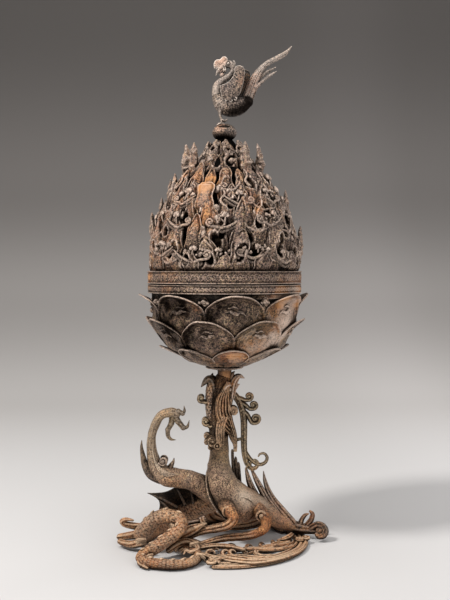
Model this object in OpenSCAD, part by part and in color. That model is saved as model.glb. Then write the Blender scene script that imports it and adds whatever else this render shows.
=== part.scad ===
// Bronze hill censer: a lotus bowl with a pierced mountain lid and a bird
// finial, carried in the jaws of a dragon that rears from an openwork foot.
// Millimetres, +Z up. The origin is on the floor, under the axis of the bowl.

/* [Bowl] */
// Outer radius of the bowl and of the lid at the seam
seam_r = 90; // [88:0.5:92]
// Height of the seam between bowl and lid above the floor
seam_z = 324; // [322:1:326]
// Wall thickness of the bowl
bowl_wall = 3.5; // [3:0.25:4]
// Petals in each of the three rows round the bowl
petal_count = 8; // [6:1:9]
// Thickness of a petal where it leaves the bowl
petal_t = 3; // [2.5:0.25:3.5]
// Height of the ornamental band under the bowl's rim
bowl_band_h = 11; // [9:0.5:12]

/* [Lid] */
// Wall thickness of the lid
lid_wall = 3.5; // [3:0.25:4]
// Thickness of a peak where it leaves the lid
peak_t = 3.4; // [3:0.1:3.6]
// How far a peak stands off the lid at its tip
peak_flare = 15; // [13:0.5:16]
// Height of the ornamental band round the lid's foot
lid_band_h = 15.5; // [14:0.5:16]
// Radius of a smoke vent
vent_r = 4; // [3:0.25:4.5]
// Radial play between the lid's spigot and the bowl
spigot_play = 0.4; // [0.3:0.05:0.6]

/* [Stem] */
// Outer radius of the stem tube
stem_r = 8.5; // [8:0.25:9]
// Radius of the rod that ties the bowl to the stand
rod_r = 4; // [3.5:0.25:4.5]

/* [Finial] */
// Radius of the flattened pearl under the bird
pearl_r = 14.5; // [13:0.5:15]
// Radius of the pin that holds the finial on the lid
pin_r = 2.8; // [2.4:0.1:3]

/* [Foot] */
// Outer radius of the ring that the censer stands on
ring_r = 105; // [103:0.5:106]
// Radial width of the ring
ring_w = 20; // [16:1:22]
// Height of the ring
ring_h = 10; // [8:0.5:11]

/* [Hidden] */
$fn = 64;
gap = 0.3;
// Depth that the root of a petal or peak is let into the wall behind it.
root = 0.5;
bronze = [0.30, 0.22, 0.16];
rust = [0.45, 0.27, 0.14];
olive = [0.36, 0.31, 0.20];
dark = [0.20, 0.16, 0.13];
worn = [0.52, 0.46, 0.38];

// ---------------------------------------------------------------- helpers
function xyz(p) = [p[0], p[1], p[2]];
function unit(v) = v / norm(v);
function spline(a, b, c, d, t) = 0.5 * (2 * b + (c - a) * t
  + (2 * a - 5 * b + 4 * c - d) * t * t + (3 * b - a - 3 * c + d) * t * t * t);
function smooth(P, n) = [for (i = [0 : len(P) - 2]) for (k = [0 : n - 1])
  spline(P[max(i - 1, 0)], P[i], P[i + 1], P[min(i + 2, len(P) - 1)], k / n),
  P[len(P) - 1]];
function tang(P, i) = unit(xyz(P[min(i + 1, len(P) - 1)]) - xyz(P[max(i - 1, 0)]));
function normals(P, i, n) = i >= len(P) ? [] :
  let (t = tang(P, i), m = unit(n - (n * t) * t)) concat([m], normals(P, i + 1, m));
function lerp(T, x) = let (k = [for (i = [0 : len(T) - 2]) if (x >= T[i][0] && x <= T[i + 1][0]) i][0])
  T[k][1] + (T[k + 1][1] - T[k][1]) * (x - T[k][0]) / (T[k + 1][0] - T[k][0]);

// A tapering bar of round or oval section along points [x, y, z, radius].
module bar(pts, n = 4, sides = 8, oval = 1) {
  P = n > 1 ? smooth(pts, n) : pts;
  t0 = tang(P, 0);
  n0 = abs(t0[1]) < 0.9 ? unit(cross(t0, [0, 1, 0])) : unit(cross(t0, [1, 0, 0]));
  N = normals(P, 0, n0);
  m = len(P);
  V = [for (i = [0 : m - 1]) let (b = cross(tang(P, i), N[i])) for (k = [0 : sides - 1])
    xyz(P[i]) + P[i][3] * (cos(360 * k / sides) * N[i] + oval * sin(360 * k / sides) * b)];
  F = concat(
    [[for (k = [0 : sides - 1]) k]],
    [for (i = [0 : m - 2]) for (k = [0 : sides - 1])
      [i * sides + k, (i + 1) * sides + k, (i + 1) * sides + (k + 1) % sides, i * sides + (k + 1) % sides]],
    [[for (k = [sides - 1 : -1 : 0]) (m - 1) * sides + k]]);
  polyhedron(V, F);
}

// Points of a curl standing in the XZ plane, and of one lying in the XY plane.
function curl(x, y, z, R0, R1, a0, a1, t0, t1, n = 10) = [for (i = [0 : n])
  let (f = i / n, a = a0 + (a1 - a0) * f, R = R0 + (R1 - R0) * f)
  [x + R * cos(a), y, z + R * sin(a), t0 + (t1 - t0) * f]];
function coil(x, y, z, R0, R1, a0, a1, t0, t1, n = 10) = [for (i = [0 : n])
  let (f = i / n, a = a0 + (a1 - a0) * f, R = R0 + (R1 - R0) * f)
  [x + R * cos(a), y + R * sin(a), z, t0 + (t1 - t0) * f]];

// ---------------------------------------------------------------- lid shape
lid_z = seam_z + 16;
// Outer radius of the lid, less than at the seam, by height above its band.
dome = [[0, 0], [12, 0.5], [24, 1.5], [36, 3.5], [48, 6.5], [60, 10.5], [72, 15.5],
  [84, 21.5], [96, 28.5], [108, 36.5], [120, 46], [132, 56.5], [144, 67], [156, 76], [161, 80]];
function dome_r(h) = seam_r - lerp(dome, h);
dome_h = [for (p = dome) p[0]];

// Section of the shell that one tier of peaks is cut from: it lies on the lid
// from h0 to hs, then stands off it up to h1.
function tier_mid(hs, h1, flare) = hs + 12 < h1
  ? max(dome_r(hs + 12) + 5, dome_r(hs) + (dome_r(h1) + flare - dome_r(hs)) * 12 / (h1 - hs)) : dome_r(hs + 12) + 5;
function tier_section(h0, hs, h1, flare) = concat(
  [for (h = dome_h) if (h >= h0 && h <= hs) [dome_r(h) - root, lid_z + h]],
  [[tier_mid(hs, h1, flare), lid_z + hs + 12], [dome_r(h1) + flare, lid_z + h1]],
  [[dome_r(h1) + flare + 2, lid_z + h1], [tier_mid(hs, h1, flare) + peak_t, lid_z + hs + 12]],
  [for (i = [len(dome_h) - 1 : -1 : 0]) let (h = dome_h[i]) if (h >= h0 && h <= hs) [dome_r(h) + peak_t, lid_z + h]]);

// Outline of a peak: a tall middle summit between two lower shoulders.
function peak_outline(w, h) = [[-w, 0], [w, 0], [w * 0.92, h * 0.34], [w * 0.62, h * 0.52],
  [w * 0.36, h * 0.60], [w * 0.16, h * 0.88], [0, h], [-w * 0.20, h * 0.84], [-w * 0.40, h * 0.58],
  [-w * 0.66, h * 0.50], [-w * 0.92, h * 0.30]];

module peak_tier(h0, hs, h1, n, turn, flare) {
  intersection() {
    rotate([0, 0, turn + 180 / n]) rotate_extrude() polygon(tier_section(h0, hs, h1, flare));
    union() for (k = [0 : n - 1]) rotate([0, 0, turn + 360 * k / n])
      translate([0, 0, lid_z + h0]) rotate([90, 0, 90]) linear_extrude(140)
        polygon(peak_outline(dome_r(hs) * sin(180 / n) - 0.4, h1 - h0));
  }
}

// ---------------------------------------------------------------- bowl shape
// Outer radius of the bowl by depth under the seam.
cup = [[0, 90], [15, 90], [26, 89.5], [36, 88.5], [46, 86.5], [56, 83], [66, 77.5], [76, 69.5], [86, 57.5], [94, 43], [100, 25], [103, 10]];
function cup_r(d) = lerp(cup, d) * seam_r / 90;

// Section of one row of petals: from d0 up to d1 on the bowl, then curling out to the tip.
function petal_section(d0, ds, d1, flare, grow) = let (D = [for (p = cup) p[0]]) concat(
  [for (i = [len(D) - 1 : -1 : 0]) if (D[i] <= d0 && D[i] >= ds) [cup_r(D[i]) - grow, seam_z - D[i] + grow]],
  [[cup_r((ds + d1) / 2) + 5 - grow, seam_z - (ds + d1) / 2], [cup_r(ds) + flare - grow, seam_z - d1],
   [cup_r(ds) + flare + 1.5, seam_z - d1 - 1.6], [cup_r((ds + d1) / 2) + 5 + petal_t, seam_z - (ds + d1) / 2 - 2]],
  [for (d = D) if (d <= d0 && d >= ds) [cup_r(d) + petal_t, seam_z - d - (d == d0 ? 0 : 1)]]);

// Half outline of a petal as [height, width] shares: broad and round-headed.
petal_half = [[0, 0.34], [0.10, 0.56], [0.20, 0.76], [0.30, 0.91], [0.40, 0.99], [0.50, 1], [0.60, 0.97],
  [0.70, 0.90], [0.79, 0.79], [0.87, 0.64], [0.93, 0.48], [0.97, 0.32]];
function petal_w(d0, ds, d1, f, share) = min(share * (cup_r(ds) * sin(180 / petal_count) - 0.5),
  cup_r(max(0, min(103, d0 + 2 - f * (d0 - d1 + 2)))) * sin(180 / petal_count) - 0.5);
function petal_outline(d0, ds, d1) = let (h = d0 - d1 + 2) concat(
  [for (p = petal_half) [petal_w(d0, ds, d1, p[0], p[1]), p[0] * h]], [[0, h + 1]],
  [for (i = [len(petal_half) - 1 : -1 : 0]) let (p = petal_half[i]) [-petal_w(d0, ds, d1, p[0], p[1]), p[0] * h]]);

// A row [d0, ds, d1, flare, turn] of petals.
module petal_row(R, grow = 0) {
  intersection() {
    rotate([0, 0, R[4] + 180 / petal_count]) rotate_extrude() polygon(petal_section(R[0], R[1], R[2], R[3], grow));
    union() for (k = [0 : petal_count - 1]) rotate([0, 0, R[4] + 360 * k / petal_count])
      translate([0, 0, seam_z - R[0] - 2]) rotate([90, 0, 90]) linear_extrude(140)
        offset(delta = grow) polygon(petal_outline(R[0], R[1], R[2]));
  }
}
row_upper = [56, 26, 12.5, 14, -82];
row_middle = [86, 56, 40.5, 14, -82 + 180 / petal_count];
row_lower = [100, 86, 75, 23, -82];

// ---------------------------------------------------------------- foot
// Arc of the ring, with a flat underside and a rounded top.
module ring_arc(a0, a1) {
  rotate([0, 0, a0]) rotate_extrude(angle = a1 - a0)
    polygon([[ring_r - ring_w, 0], [ring_r, 0], [ring_r, ring_h * 0.35], [ring_r - 2.5, ring_h * 0.75],
      [ring_r - ring_w * 0.35, ring_h], [ring_r - ring_w * 0.65, ring_h * 0.9], [ring_r - ring_w, ring_h * 0.5]]);
}
module wave_ring_front() { color(rust) ring_arc(-98, -38.2); }
module wave_ring_right() { color(rust) ring_arc(-38, 41.8); }
module wave_ring_back() { color(bronze) ring_arc(42, 150); }

// Flat volutes that fill the foot between the legs and the ring.
module base_scrolls() {
  color(rust) {
    bar(concat([[78, -20, 5, 4], [64, -34, 5, 4.5]], coil(50, -62, 5, 17, 7, 90, 420, 4.5, 3)), 2);
    bar(concat([[76, 36, 5, 4], [66, 52, 5, 4.5]], coil(50, 70, 5, 11, 5, 0, 270, 4.2, 2.6)), 2);
    bar(concat([[-30, 90, 5, 4], [-28, 70, 5, 4.5]], coil(-14, 62, 5, 12, 5, 180, -90, 4.2, 2.6)), 2);
    bar(concat([[-88, 40, 5, 4], [-70, 52, 5, 4.5]], coil(-60, 66, 5, 11, 5, -90, 180, 4.2, 2.6)), 2);
    bar([[70, 74, 5, 4], [48, 94, 6, 5], [24, 105, 8, 5], [4, 106.5, 10, 4.4], [-6, 101, 12, 3.4], [-4, 95, 13, 2]], 4);
  }
}

// ---------------------------------------------------------------- dragon
module dragon_body() {
  color(bronze) bar([[-7, -2, 96, 14.5], [-5, -3, 82, 18], [1, -4, 67, 21], [16, -2, 54, 21], [32, 2, 47, 18.5], [48, 7, 39, 14],
    [64, 12, 28, 11], [82, 16, 17, 8.5]], 4, 12);
}
module dragon_neck() {
  color(olive) bar([[-7, -2, 96.2, 14.4], [-6, 0, 108, 12.6], [-5.5, 0, 120, 11.8], [-5.5, 0, 130, 12]], 4, 12);
}
module dragon_head() {
  color(bronze) difference() {
    bar([[-5.5, 0, 130.2, 12], [-5.5, 0, 140, 14.5], [-5, 0, 156, 16.5], [-4, 0, 174, 16.5], [-2.5, 0, 190, 14.5], [-1, 0, 204, 11.5]], 3, 12);
    translate([0, 0, 166]) cylinder(h = 40, r = stem_r + 0.1);
    translate([0, 0, 148]) cylinder(h = 40, r = rod_r + 0.15);
  }
}
module upper_jaw() {
  color(bronze) difference() {
    bar([[-13.5, 0, 182, 6], [-14.5, 0, 195, 6], [-18, 0, 204, 4.8], [-23.5, 0, 202, 3.2], [-28.5, 0, 195.5, 1]], 4, 8, 1.7);
    translate([0, 0, 160]) cylinder(h = 60, r = stem_r + 0.1);
  }
}
module lower_jaw() {
  color(rust) difference() {
    bar([[12.5, 0, 182, 5], [13.5, 0, 194, 5.4], [16.5, 0, 205, 4.4], [21.5, 0, 208.5, 2.8], [25.5, 0, 205.5, 1]], 4, 8, 1.6);
    translate([0, 0, 160]) cylinder(h = 60, r = stem_r + 0.1);
  }
}
module mane() {
  color(olive) {
    bar([[14, 0, 188, 4.4], [17, 0, 176, 5], [18, 0, 160, 5.4], [13.5, 0, 146, 4.6], [10, 0, 130, 3.2], [11.5, 0, 112, 1.2]], 3, 8, 1.5);
    for (s = [-1, 1]) bar([[3, 14.5 * s, 174, 4], [5, 15.5 * s, 160, 4.4], [2, 14.5 * s, 146, 3.8], [-4, 12 * s, 134, 2.8], [-11, 10 * s, 124, 1.4]], 3, 8);
  }
}
module horn_strand() {
  color(olive) {
    bar([[14, 2, 187, 4.2], [21.5, 2, 175, 4.8], [25, 2, 156, 4.6], [26, 2, 132, 4.2], [27, 2, 112, 4], [31, 2, 99, 3.6], [37, 2, 96, 3], [40, 2, 102, 2.4], [36, 2, 106, 1.6]], 3, 8);
    bar([[22, 2, 176, 3.2], [28, 2, 181, 2.8], [34, 2, 182, 2.4], [36, 2, 186.5, 2.2], [32, 2, 188.5, 1.6]], 3, 8);
    bar([[24, 2, 170, 3.2], [30, 2, 168, 2.8], [38, 2, 167.5, 2.4], [41.5, 2, 172, 2.2], [38, 2, 175, 1.6]], 3, 8);
    bar([[25, 2, 160, 3.2], [31, 2, 153, 2.8], [39, 2, 150, 2.4], [44.5, 2, 155, 2.2], [41, 2, 159.5, 1.6]], 3, 8);
    bar([[27, 2, 116, 3], [34, 2, 111, 2.6], [44, 2, 105, 2.4], [50, 2, 109, 2], [48, 2, 116, 1.4]], 3, 8);
  }
}
module whisker_curls() {
  color(olive) for (s = [-1, 1]) {
    bar([[-16, 6 * s, 171, 2.6], [-22, 7 * s, 176, 2.8], [-29, 8 * s, 178, 3], [-31, 8 * s, 183, 2.4], [-27, 8 * s, 184.5, 1.4]], 3, 8);
    bar([[-15, 7 * s, 145, 2.6], [-20, 8 * s, 147, 2.8], [-25, 9 * s, 149, 3], [-26, 9 * s, 154, 2.4], [-22, 9 * s, 155, 1.4]], 3, 8);
    bar([[-12, 4 * s, 116, 3], [-17, 5 * s, 122, 3.4], [-21, 5 * s, 128, 3.2], [-18, 5 * s, 133.5, 2.4], [-14.5, 5 * s, 131, 1.4]], 3, 8);
  }
}
module raised_foreleg() {
  color(olive) bar([[-12, 6, 60, 16], [-27, 2, 70, 14], [-42, -3, 79, 11.8], [-58, -6, 82.5, 12], [-72, -8, 85.5, 12.6], [-84, -8, 96, 10], [-89.5, -8, 113, 7],
    [-90.5, -9, 132, 5.4], [-85.5, -10, 150, 5.2], [-77, -11, 162.5, 5.4], [-66, -12, 165.5, 5.8], [-60, -12, 164, 6]], 4, 10);
}
module raised_claw() {
  color(dark) {
    bar([[-61, -12, 164, 5], [-55, -15, 168, 3.8], [-49, -16, 167, 2.8], [-46, -16, 172, 1]], 3, 8);
    bar([[-61, -12, 163, 5], [-54, -12, 154, 3.8], [-47, -12, 147, 3], [-41, -12, 150, 2], [-39, -12, 157, 0.8]], 3, 8);
    bar([[-62, -11, 162, 5], [-66, -8, 152, 3.8], [-67, -7, 142, 3], [-62, -7, 134, 2], [-56, -7, 132, 0.8]], 3, 8);
    bar([[-62, -12, 164, 4.4], [-64, -20, 158, 3.4], [-62, -25, 149, 2.6], [-57, -26, 144, 0.8]], 3, 8);
  }
}
module elbow_flame() {
  color(bronze) {
    bar([[-80, -8, 82, 6.5], [-91, -8, 88, 6.4], [-98, -8, 99, 4.8], [-101.5, -8, 113, 3], [-102.5, -8, 129, 0.8]], 3, 8);
    bar([[-70, -8, 92, 4.4], [-66, -8, 99, 3.2], [-62, -8, 107, 0.8]], 3, 8);
    bar(curl(-76, -15, 104, 8, 3, -120, 240, 3.2, 1.8), 1, 8);
  }
}
module front_leg() {
  color(rust) bar([[-2, -8, 57, 11], [4, -26, 54, 11], [7, -36, 48, 9.6], [9, -41, 38, 7.5], [1, -42, 31, 6], [-13, -38, 27, 4.8], [-30, -34, 23, 4], [-46, -38, 17, 3]], 4, 10);
}
module right_leg() {
  color(rust) bar([[32, 0, 49, 11], [42, -10, 46, 11], [48, -18, 38, 9.6], [50, -24, 28, 7.6], [41, -30, 21, 6], [16, -36, 18, 5], [-10, -40, 17, 4.2], [-30, -50, 13, 3.2], [-44, -60, 10, 2.6]], 4, 10);
}
module rear_left_leg() {
  color(bronze) bar([[-6, 18, 52, 12], [-16, 36, 46, 11.5], [-22, 52, 32, 9.5], [-16, 62, 16, 7.5], [4, 70, 8, 5.5], [26, 72, 6, 4.5], [38, 80, 5, 3]], 4, 10);
}
module rear_right_leg() {
  color(bronze) bar([[42, 16, 42, 11], [56, 30, 36, 10.5], [62, 42, 26, 9], [50, 50, 14, 7], [32, 48, 8, 5.5], [10, 46, 6, 4.5], [-4, 52, 5, 3]], 4, 10);
}
module tail_coil() {
  color(rust) bar([[-2, 10, 56, 15], [-26, 22, 44, 15], [-56, 26, 30, 14], [-82, 12, 20, 12.5], [-99, -14, 14.5, 11.5], [-97, -40, 26, 10],
    [-82, -51, 44, 9], [-66, -54, 48, 8.8], [-53, -57, 43.5, 8.4], [-55, -63, 34, 8.2], [-71, -70, 22.5, 8], [-87, -76, 13.5, 7.6],
    [-96, -83, 8.5, 7], [-89, -96, 7, 6.6], [-71, -103.5, 6.6, 6.2], [-51, -103.5, 6.4, 6], [-36, -92, 6.4, 5.8], [-30, -75, 7, 5.2],
    [-37, -63, 9, 4.4], [-47, -58, 12, 2.8]], 4, 10);
}
module tail_fin() {
  color(dark) translate([0, 14, 0]) rotate([90, 0, 0]) linear_extrude(3)
    polygon([[-92, 63], [-66, 72], [-44, 76], [-30, 62], [-30, 50], [-56, 44], [-80, 34], [-74, 48], [-78, 58]]);
}
module back_flames() {
  color(bronze) {
    bar([[60, 10, 30, 5.5], [47, 8, 46, 5], [37, 7, 62, 4.4], [31, 6, 76, 3.4], [27, 5, 91, 1.4]], 4, 8);
    bar([[72, 12, 25, 5.5], [62, 9, 40, 5], [53, 8, 53, 4.6], [46, 7, 66, 4], [40, 6, 78, 3], [35, 5, 90, 1.2]], 4, 8);
    bar([[86, 15, 21, 5.5], [73, 12, 37, 5], [62, 10, 51, 4.4], [55, 9, 64, 3.6], [51, 8, 76, 2.4], [49, 8, 86, 0.8]], 4, 8);
    for (k = [0 : 2]) bar([[16 + 6 * k, 15, 58 - 3 * k, 4], [14 + 5 * k, 19, 76 - 4 * k, 3.4], [11 + 5 * k, 20, 96 - 7 * k, 2.4], [8 + 4.6 * k, 20, 116 - 8.5 * k, 0.8]], 3, 8);
  }
}
module right_scroll() {
  color(bronze) {
    bar([[76, 17, 19, 9], [94, 18, 13, 7.6], [108, 15, 12, 6], [118, 13, 12, 5], [126, 8, 10, 4], [127, 0, 9, 3.2]], 3, 8);
    bar([[108, 16, 14, 4], [114, 18, 20, 3.4], [116, 20, 28, 2.8], [112, 20, 32, 1.2]], 3, 8);
  }
}
module left_scrolls() {
  color(rust) {
    bar([[-92, 0, 14, 7], [-108, 0, 10, 6], [-120, 0, 8, 5.2], [-131, -1, 7, 4.2]], 3, 8);
    bar([[-94, 8, 17, 6], [-105, 11, 16, 5], [-117, 13, 17, 4.6], [-127, 13, 19.5, 4], [-129.5, 12, 23.5, 3.2], [-124, 11, 26, 2.6], [-116, 10, 25, 1.6]], 3, 8);
    bar([[-100, -38, 12, 6], [-112, -35, 8, 5], [-122, -27, 7, 4.2], [-129, -19, 7, 3.2]], 3, 8);
    bar([[-94, -82, 7, 5], [-97, -92, 5.4, 4], [-92, -101, 4, 2.6], [-87, -106, 3, 1.2]], 3, 8);
  }
}

// ---------------------------------------------------------------- stem and bowl
module stem_tube() {
  color(dark) difference() {
    translate([0, 0, 166]) cylinder(h = seam_z - 103 - 4 - 166, r = stem_r);
    translate([0, 0, 160]) cylinder(h = 80, r = rod_r + 0.15);
  }
}
module tie_rod() {
  color(dark) union() {
    translate([0, 0, 149]) cylinder(h = seam_z - 98 - 149, r = rod_r);
    translate([0, 0, seam_z - 98]) cylinder(h = 4, r = rod_r + 4);
  }
}
module calyx_disc() {
  color(rust) difference() {
    rotate_extrude() polygon([[0, seam_z - 107], [stem_r + 1, seam_z - 107], [stem_r + 2, seam_z - 105], [23.5, seam_z - 103.2], [23.5, seam_z - 103], [0, seam_z - 103]]);
    translate([0, 0, seam_z - 120]) cylinder(h = 40, r = rod_r + 0.15);
  }
}
module bowl_shell() {
  color(bronze) difference() {
    rotate_extrude() polygon(concat([for (p = cup) [cup_r(p[0]), seam_z - p[0]]], [[0, seam_z - 103], [0, seam_z - 98]],
      [[14, seam_z - 98]],
      [for (i = [len(cup) - 3 : -1 : 1]) [cup_r(cup[i][0]) - bowl_wall, seam_z - cup[i][0] + (cup[i][0] > 60 ? 2 : 0)]],
      [[cup_r(0) - bowl_wall + 0.9, seam_z - 12], [cup_r(0) - bowl_wall + 0.9, seam_z]]));
    translate([0, 0, seam_z - 120]) cylinder(h = 40, r = rod_r + 0.15);
  }
}
module bowl_band() {
  color(olive) rotate_extrude() polygon([[seam_r, seam_z - bowl_band_h], [seam_r + 2.6, seam_z - bowl_band_h], [seam_r + 2.6, seam_z - bowl_band_h + 1.5],
    [seam_r + 1.8, seam_z - bowl_band_h + 2], [seam_r + 1.8, seam_z - 2.5], [seam_r + 2.6, seam_z - 2], [seam_r + 2.6, seam_z - 0.5], [seam_r, seam_z - 0.5]]);
}
module petals_upper() { color(bronze) difference() { petal_row(row_upper); petal_row(row_middle, 0.2); } }
module petals_middle() { color(bronze) difference() { petal_row(row_middle); petal_row(row_lower, 0.2); } }
module petals_lower() { color(olive) petal_row(row_lower); }

// ---------------------------------------------------------------- lid
module lid_shell() {
  color(bronze) difference() {
    rotate_extrude() polygon(concat(
      [[seam_r, seam_z + gap], [seam_r, lid_z]],
      [for (p = dome) if (p[0] > 0) [dome_r(p[0]), lid_z + p[0]]],
      [[0, lid_z + 161], [0, lid_z + 154]],
      [for (i = [len(dome) - 2 : -1 : 0]) [dome_r(dome[i][0]) - lid_wall - (dome[i][0] > 100 ? 1 : 0), lid_z + dome[i][0] - (dome[i][0] > 60 ? 2 : 0)]],
      [[seam_r - lid_wall - 2.5, lid_z - 6], [seam_r - lid_wall - 2.5, seam_z - 9], [seam_r - bowl_wall + 0.9 - spigot_play, seam_z - 9], [seam_r - bowl_wall + 0.9 - spigot_play, seam_z + gap]]));
    translate([0, 0, lid_z + 120]) cylinder(h = 60, r = pin_r + 0.05);
    for (k = [0 : 10]) rotate([0, 0, -90 + 360 * k / 11]) translate([0, 0, lid_z + 54]) rotate([0, 90, 0]) translate([0, 0, 60]) cylinder(h = 40, r = vent_r);
    for (k = [0 : 7]) rotate([0, 0, -90 + 360 * k / 8]) translate([0, 0, lid_z + 102]) rotate([0, 90, 0]) translate([0, 0, 36]) cylinder(h = 40, r = vent_r);
  }
}
module lid_band() {
  color(olive) rotate_extrude() polygon([[seam_r, lid_z - lid_band_h], [seam_r + 3, lid_z - lid_band_h], [seam_r + 3, lid_z - lid_band_h + 1.6], [seam_r + 2, lid_z - lid_band_h + 2.2],
    [seam_r + 2, lid_z - 3], [seam_r + 3, lid_z - 2.4], [seam_r + 3, lid_z - 0.2], [seam_r, lid_z - 0.2]]);
}
module peaks_tier_1() { color(bronze) peak_tier(0, 24, 64, 11, -90, peak_flare); }
module peaks_tier_2() { color(rust) peak_tier(36, 48, 90, 11, -90 + 180 / 11, peak_flare); }
module peaks_tier_3() { color(olive) peak_tier(60, 72, 116, 8, -90, peak_flare + 3); }
module peaks_tier_4() { color(rust) peak_tier(84, 96, 138, 8, -90 + 22.5, peak_flare + 4); }
module peaks_tier_5() { color(bronze) peak_tier(108, 120, 158, 6, -90, peak_flare + 16); }
module summit_crown() { color(dark) peak_tier(132, 144, 156, 5, -72, 5.6); }

// ---------------------------------------------------------------- finial
pearl_z = lid_z + 161;
module pearl() {
  color(worn) difference() {
    rotate_extrude() polygon([[0, pearl_z], [pearl_r * 0.52, pearl_z], [pearl_r * 0.80, pearl_z + 2.6], [pearl_r * 0.96, pearl_z + 5.8], [pearl_r, pearl_z + 9.2],
      [pearl_r * 0.96, pearl_z + 12.6], [pearl_r * 0.80, pearl_z + 15.8], [pearl_r * 0.5, pearl_z + 18], [0, pearl_z + 18.5]]);
    translate([0, 0, pearl_z - 5]) cylinder(h = 21.5, r = pin_r + 0.05);
  }
}
module finial_pin() { color(dark) translate([0, 0, pearl_z - 12]) cylinder(h = 28, r = pin_r); }
bird_z = lid_z + 176;
module bird_legs() {
  color(dark) for (s = [-1, 1]) {
    translate([-3, 4.5 * s, pearl_z + 18]) cylinder(h = bird_z + 22 - pearl_z - 18, r = 1.8);
    translate([-3, 4.5 * s, pearl_z + 17]) cylinder(h = 1.9, r = 3);
  }
}
module bird_body() {
  color(worn) bar([[-9, 0, bird_z + 46, 4.5], [-7, 0, bird_z + 38, 8.5], [-1, 0, bird_z + 29, 11.5], [8, 0, bird_z + 25.5, 12], [18, 0, bird_z + 27, 11], [28, 0, bird_z + 32, 7.5]], 4, 12);
}
module bird_neck_head() {
  color(worn) bar([[-9, 0, bird_z + 44, 6], [-8, 0, bird_z + 53, 5], [-1, 0, bird_z + 60.5, 4.2], [7.5, 0, bird_z + 66.5, 3.8], [11, 0, bird_z + 74, 3.8], [6.5, 0, bird_z + 80, 4.2], [0, 0, bird_z + 78.5, 4.2], [-5.5, 0, bird_z + 73.5, 2.6], [-10.5, 0, bird_z + 66.5, 0.8]], 4, 10);
}
module bird_crest() {
  color(rust) translate([0, 1.25, 0]) rotate([90, 0, 0]) linear_extrude(2.5)
    polygon([[-10, bird_z + 74], [-3, bird_z + 78], [3, bird_z + 81.5], [3.5, bird_z + 85], [0.5, bird_z + 89], [-3, bird_z + 87], [-6, bird_z + 85.5], [-10.5, bird_z + 84.5], [-12.5, bird_z + 80], [-12, bird_z + 75.5]]);
}
module wing(s) {
  color(worn) translate([s > 0 ? 3 : 0, s > 0 ? 10.5 : -7.5, 0]) rotate([90, 0, 0]) linear_extrude(3)
    polygon([[-5, bird_z + 49.5], [-4, bird_z + 42], [-1.5, bird_z + 33.5], [5, bird_z + 30.5], [12, bird_z + 34], [18.4, bird_z + 42], [21.7, bird_z + 53.7], [23.6, bird_z + 66], [21.7, bird_z + 73.6], [16.6, bird_z + 78.4],
      [14.5, bird_z + 73], [11.4, bird_z + 61.5], [6.2, bird_z + 54.4]]);
}
module bird_wing_left() { wing(-1); }
module bird_wing_right() { wing(1); }
module bird_tail() {
  color(worn) {
    bar([[24, 0, bird_z + 30, 6], [31, 0, bird_z + 40, 6.4], [35, 0, bird_z + 52, 6], [40, 0, bird_z + 62, 5.4], [45, 0, bird_z + 71, 4.2], [53, 0, bird_z + 79, 3.4], [66, 0, bird_z + 86, 3], [75, 0, bird_z + 91, 2.4], [82, 0, bird_z + 99, 0.8]], 4, 8, 0.6);
    for (s = [-1, 1]) bar([[36, 1.5 * s, bird_z + 54, 3.4], [44, 3 * s, bird_z + 63, 3.2], [53, 5 * s, bird_z + 71 + s, 2.4], [62, 7 * s, bird_z + 76 + 2 * s, 0.8]], 4, 8, 0.6);
  }
}

wave_ring_front();
wave_ring_right();
wave_ring_back();
base_scrolls();
dragon_body();
dragon_neck();
dragon_head();
upper_jaw();
lower_jaw();
mane();
horn_strand();
whisker_curls();
raised_foreleg();
raised_claw();
elbow_flame();
front_leg();
right_leg();
rear_left_leg();
rear_right_leg();
tail_coil();
tail_fin();
back_flames();
right_scroll();
left_scrolls();
stem_tube();
tie_rod();
calyx_disc();
bowl_shell();
bowl_band();
petals_lower();
petals_middle();
petals_upper();
lid_shell();
lid_band();
peaks_tier_1();
peaks_tier_2();
peaks_tier_3();
peaks_tier_4();
peaks_tier_5();
summit_crown();
pearl();
finial_pin();
bird_body();
bird_neck_head();
bird_crest();
bird_wing_left();
bird_wing_right();
bird_tail();
bird_legs();
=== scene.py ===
import math

import bpy
import numpy as np
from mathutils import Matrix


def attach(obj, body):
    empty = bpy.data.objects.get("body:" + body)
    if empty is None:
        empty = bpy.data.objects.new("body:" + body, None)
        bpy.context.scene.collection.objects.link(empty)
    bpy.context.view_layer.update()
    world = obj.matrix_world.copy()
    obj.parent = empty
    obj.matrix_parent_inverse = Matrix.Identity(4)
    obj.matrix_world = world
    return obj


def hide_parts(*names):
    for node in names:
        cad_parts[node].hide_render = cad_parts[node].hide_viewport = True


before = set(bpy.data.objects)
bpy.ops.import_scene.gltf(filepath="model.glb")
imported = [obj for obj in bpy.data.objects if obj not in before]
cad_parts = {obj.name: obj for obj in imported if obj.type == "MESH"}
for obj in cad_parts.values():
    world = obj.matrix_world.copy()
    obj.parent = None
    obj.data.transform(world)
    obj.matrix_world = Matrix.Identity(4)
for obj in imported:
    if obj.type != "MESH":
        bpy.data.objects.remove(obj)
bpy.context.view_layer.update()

MM = 0.001
TAU = 2.0 * math.pi

# ------------------------------------------------------------------ camera
cam_data = bpy.data.cameras.new("camera")
cam = bpy.data.objects.new("camera", cam_data)
bpy.context.scene.collection.objects.link(cam)
cam_data.sensor_width = 36.0
cam_data.lens = 53.2
cam_data.clip_end = 50.0
cam.location = (0.0006, -1.100, 0.341)
cam.rotation_euler = (math.radians(90.0 - 1.94), 0.0, 0.0)
bpy.context.scene.camera = cam


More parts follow.
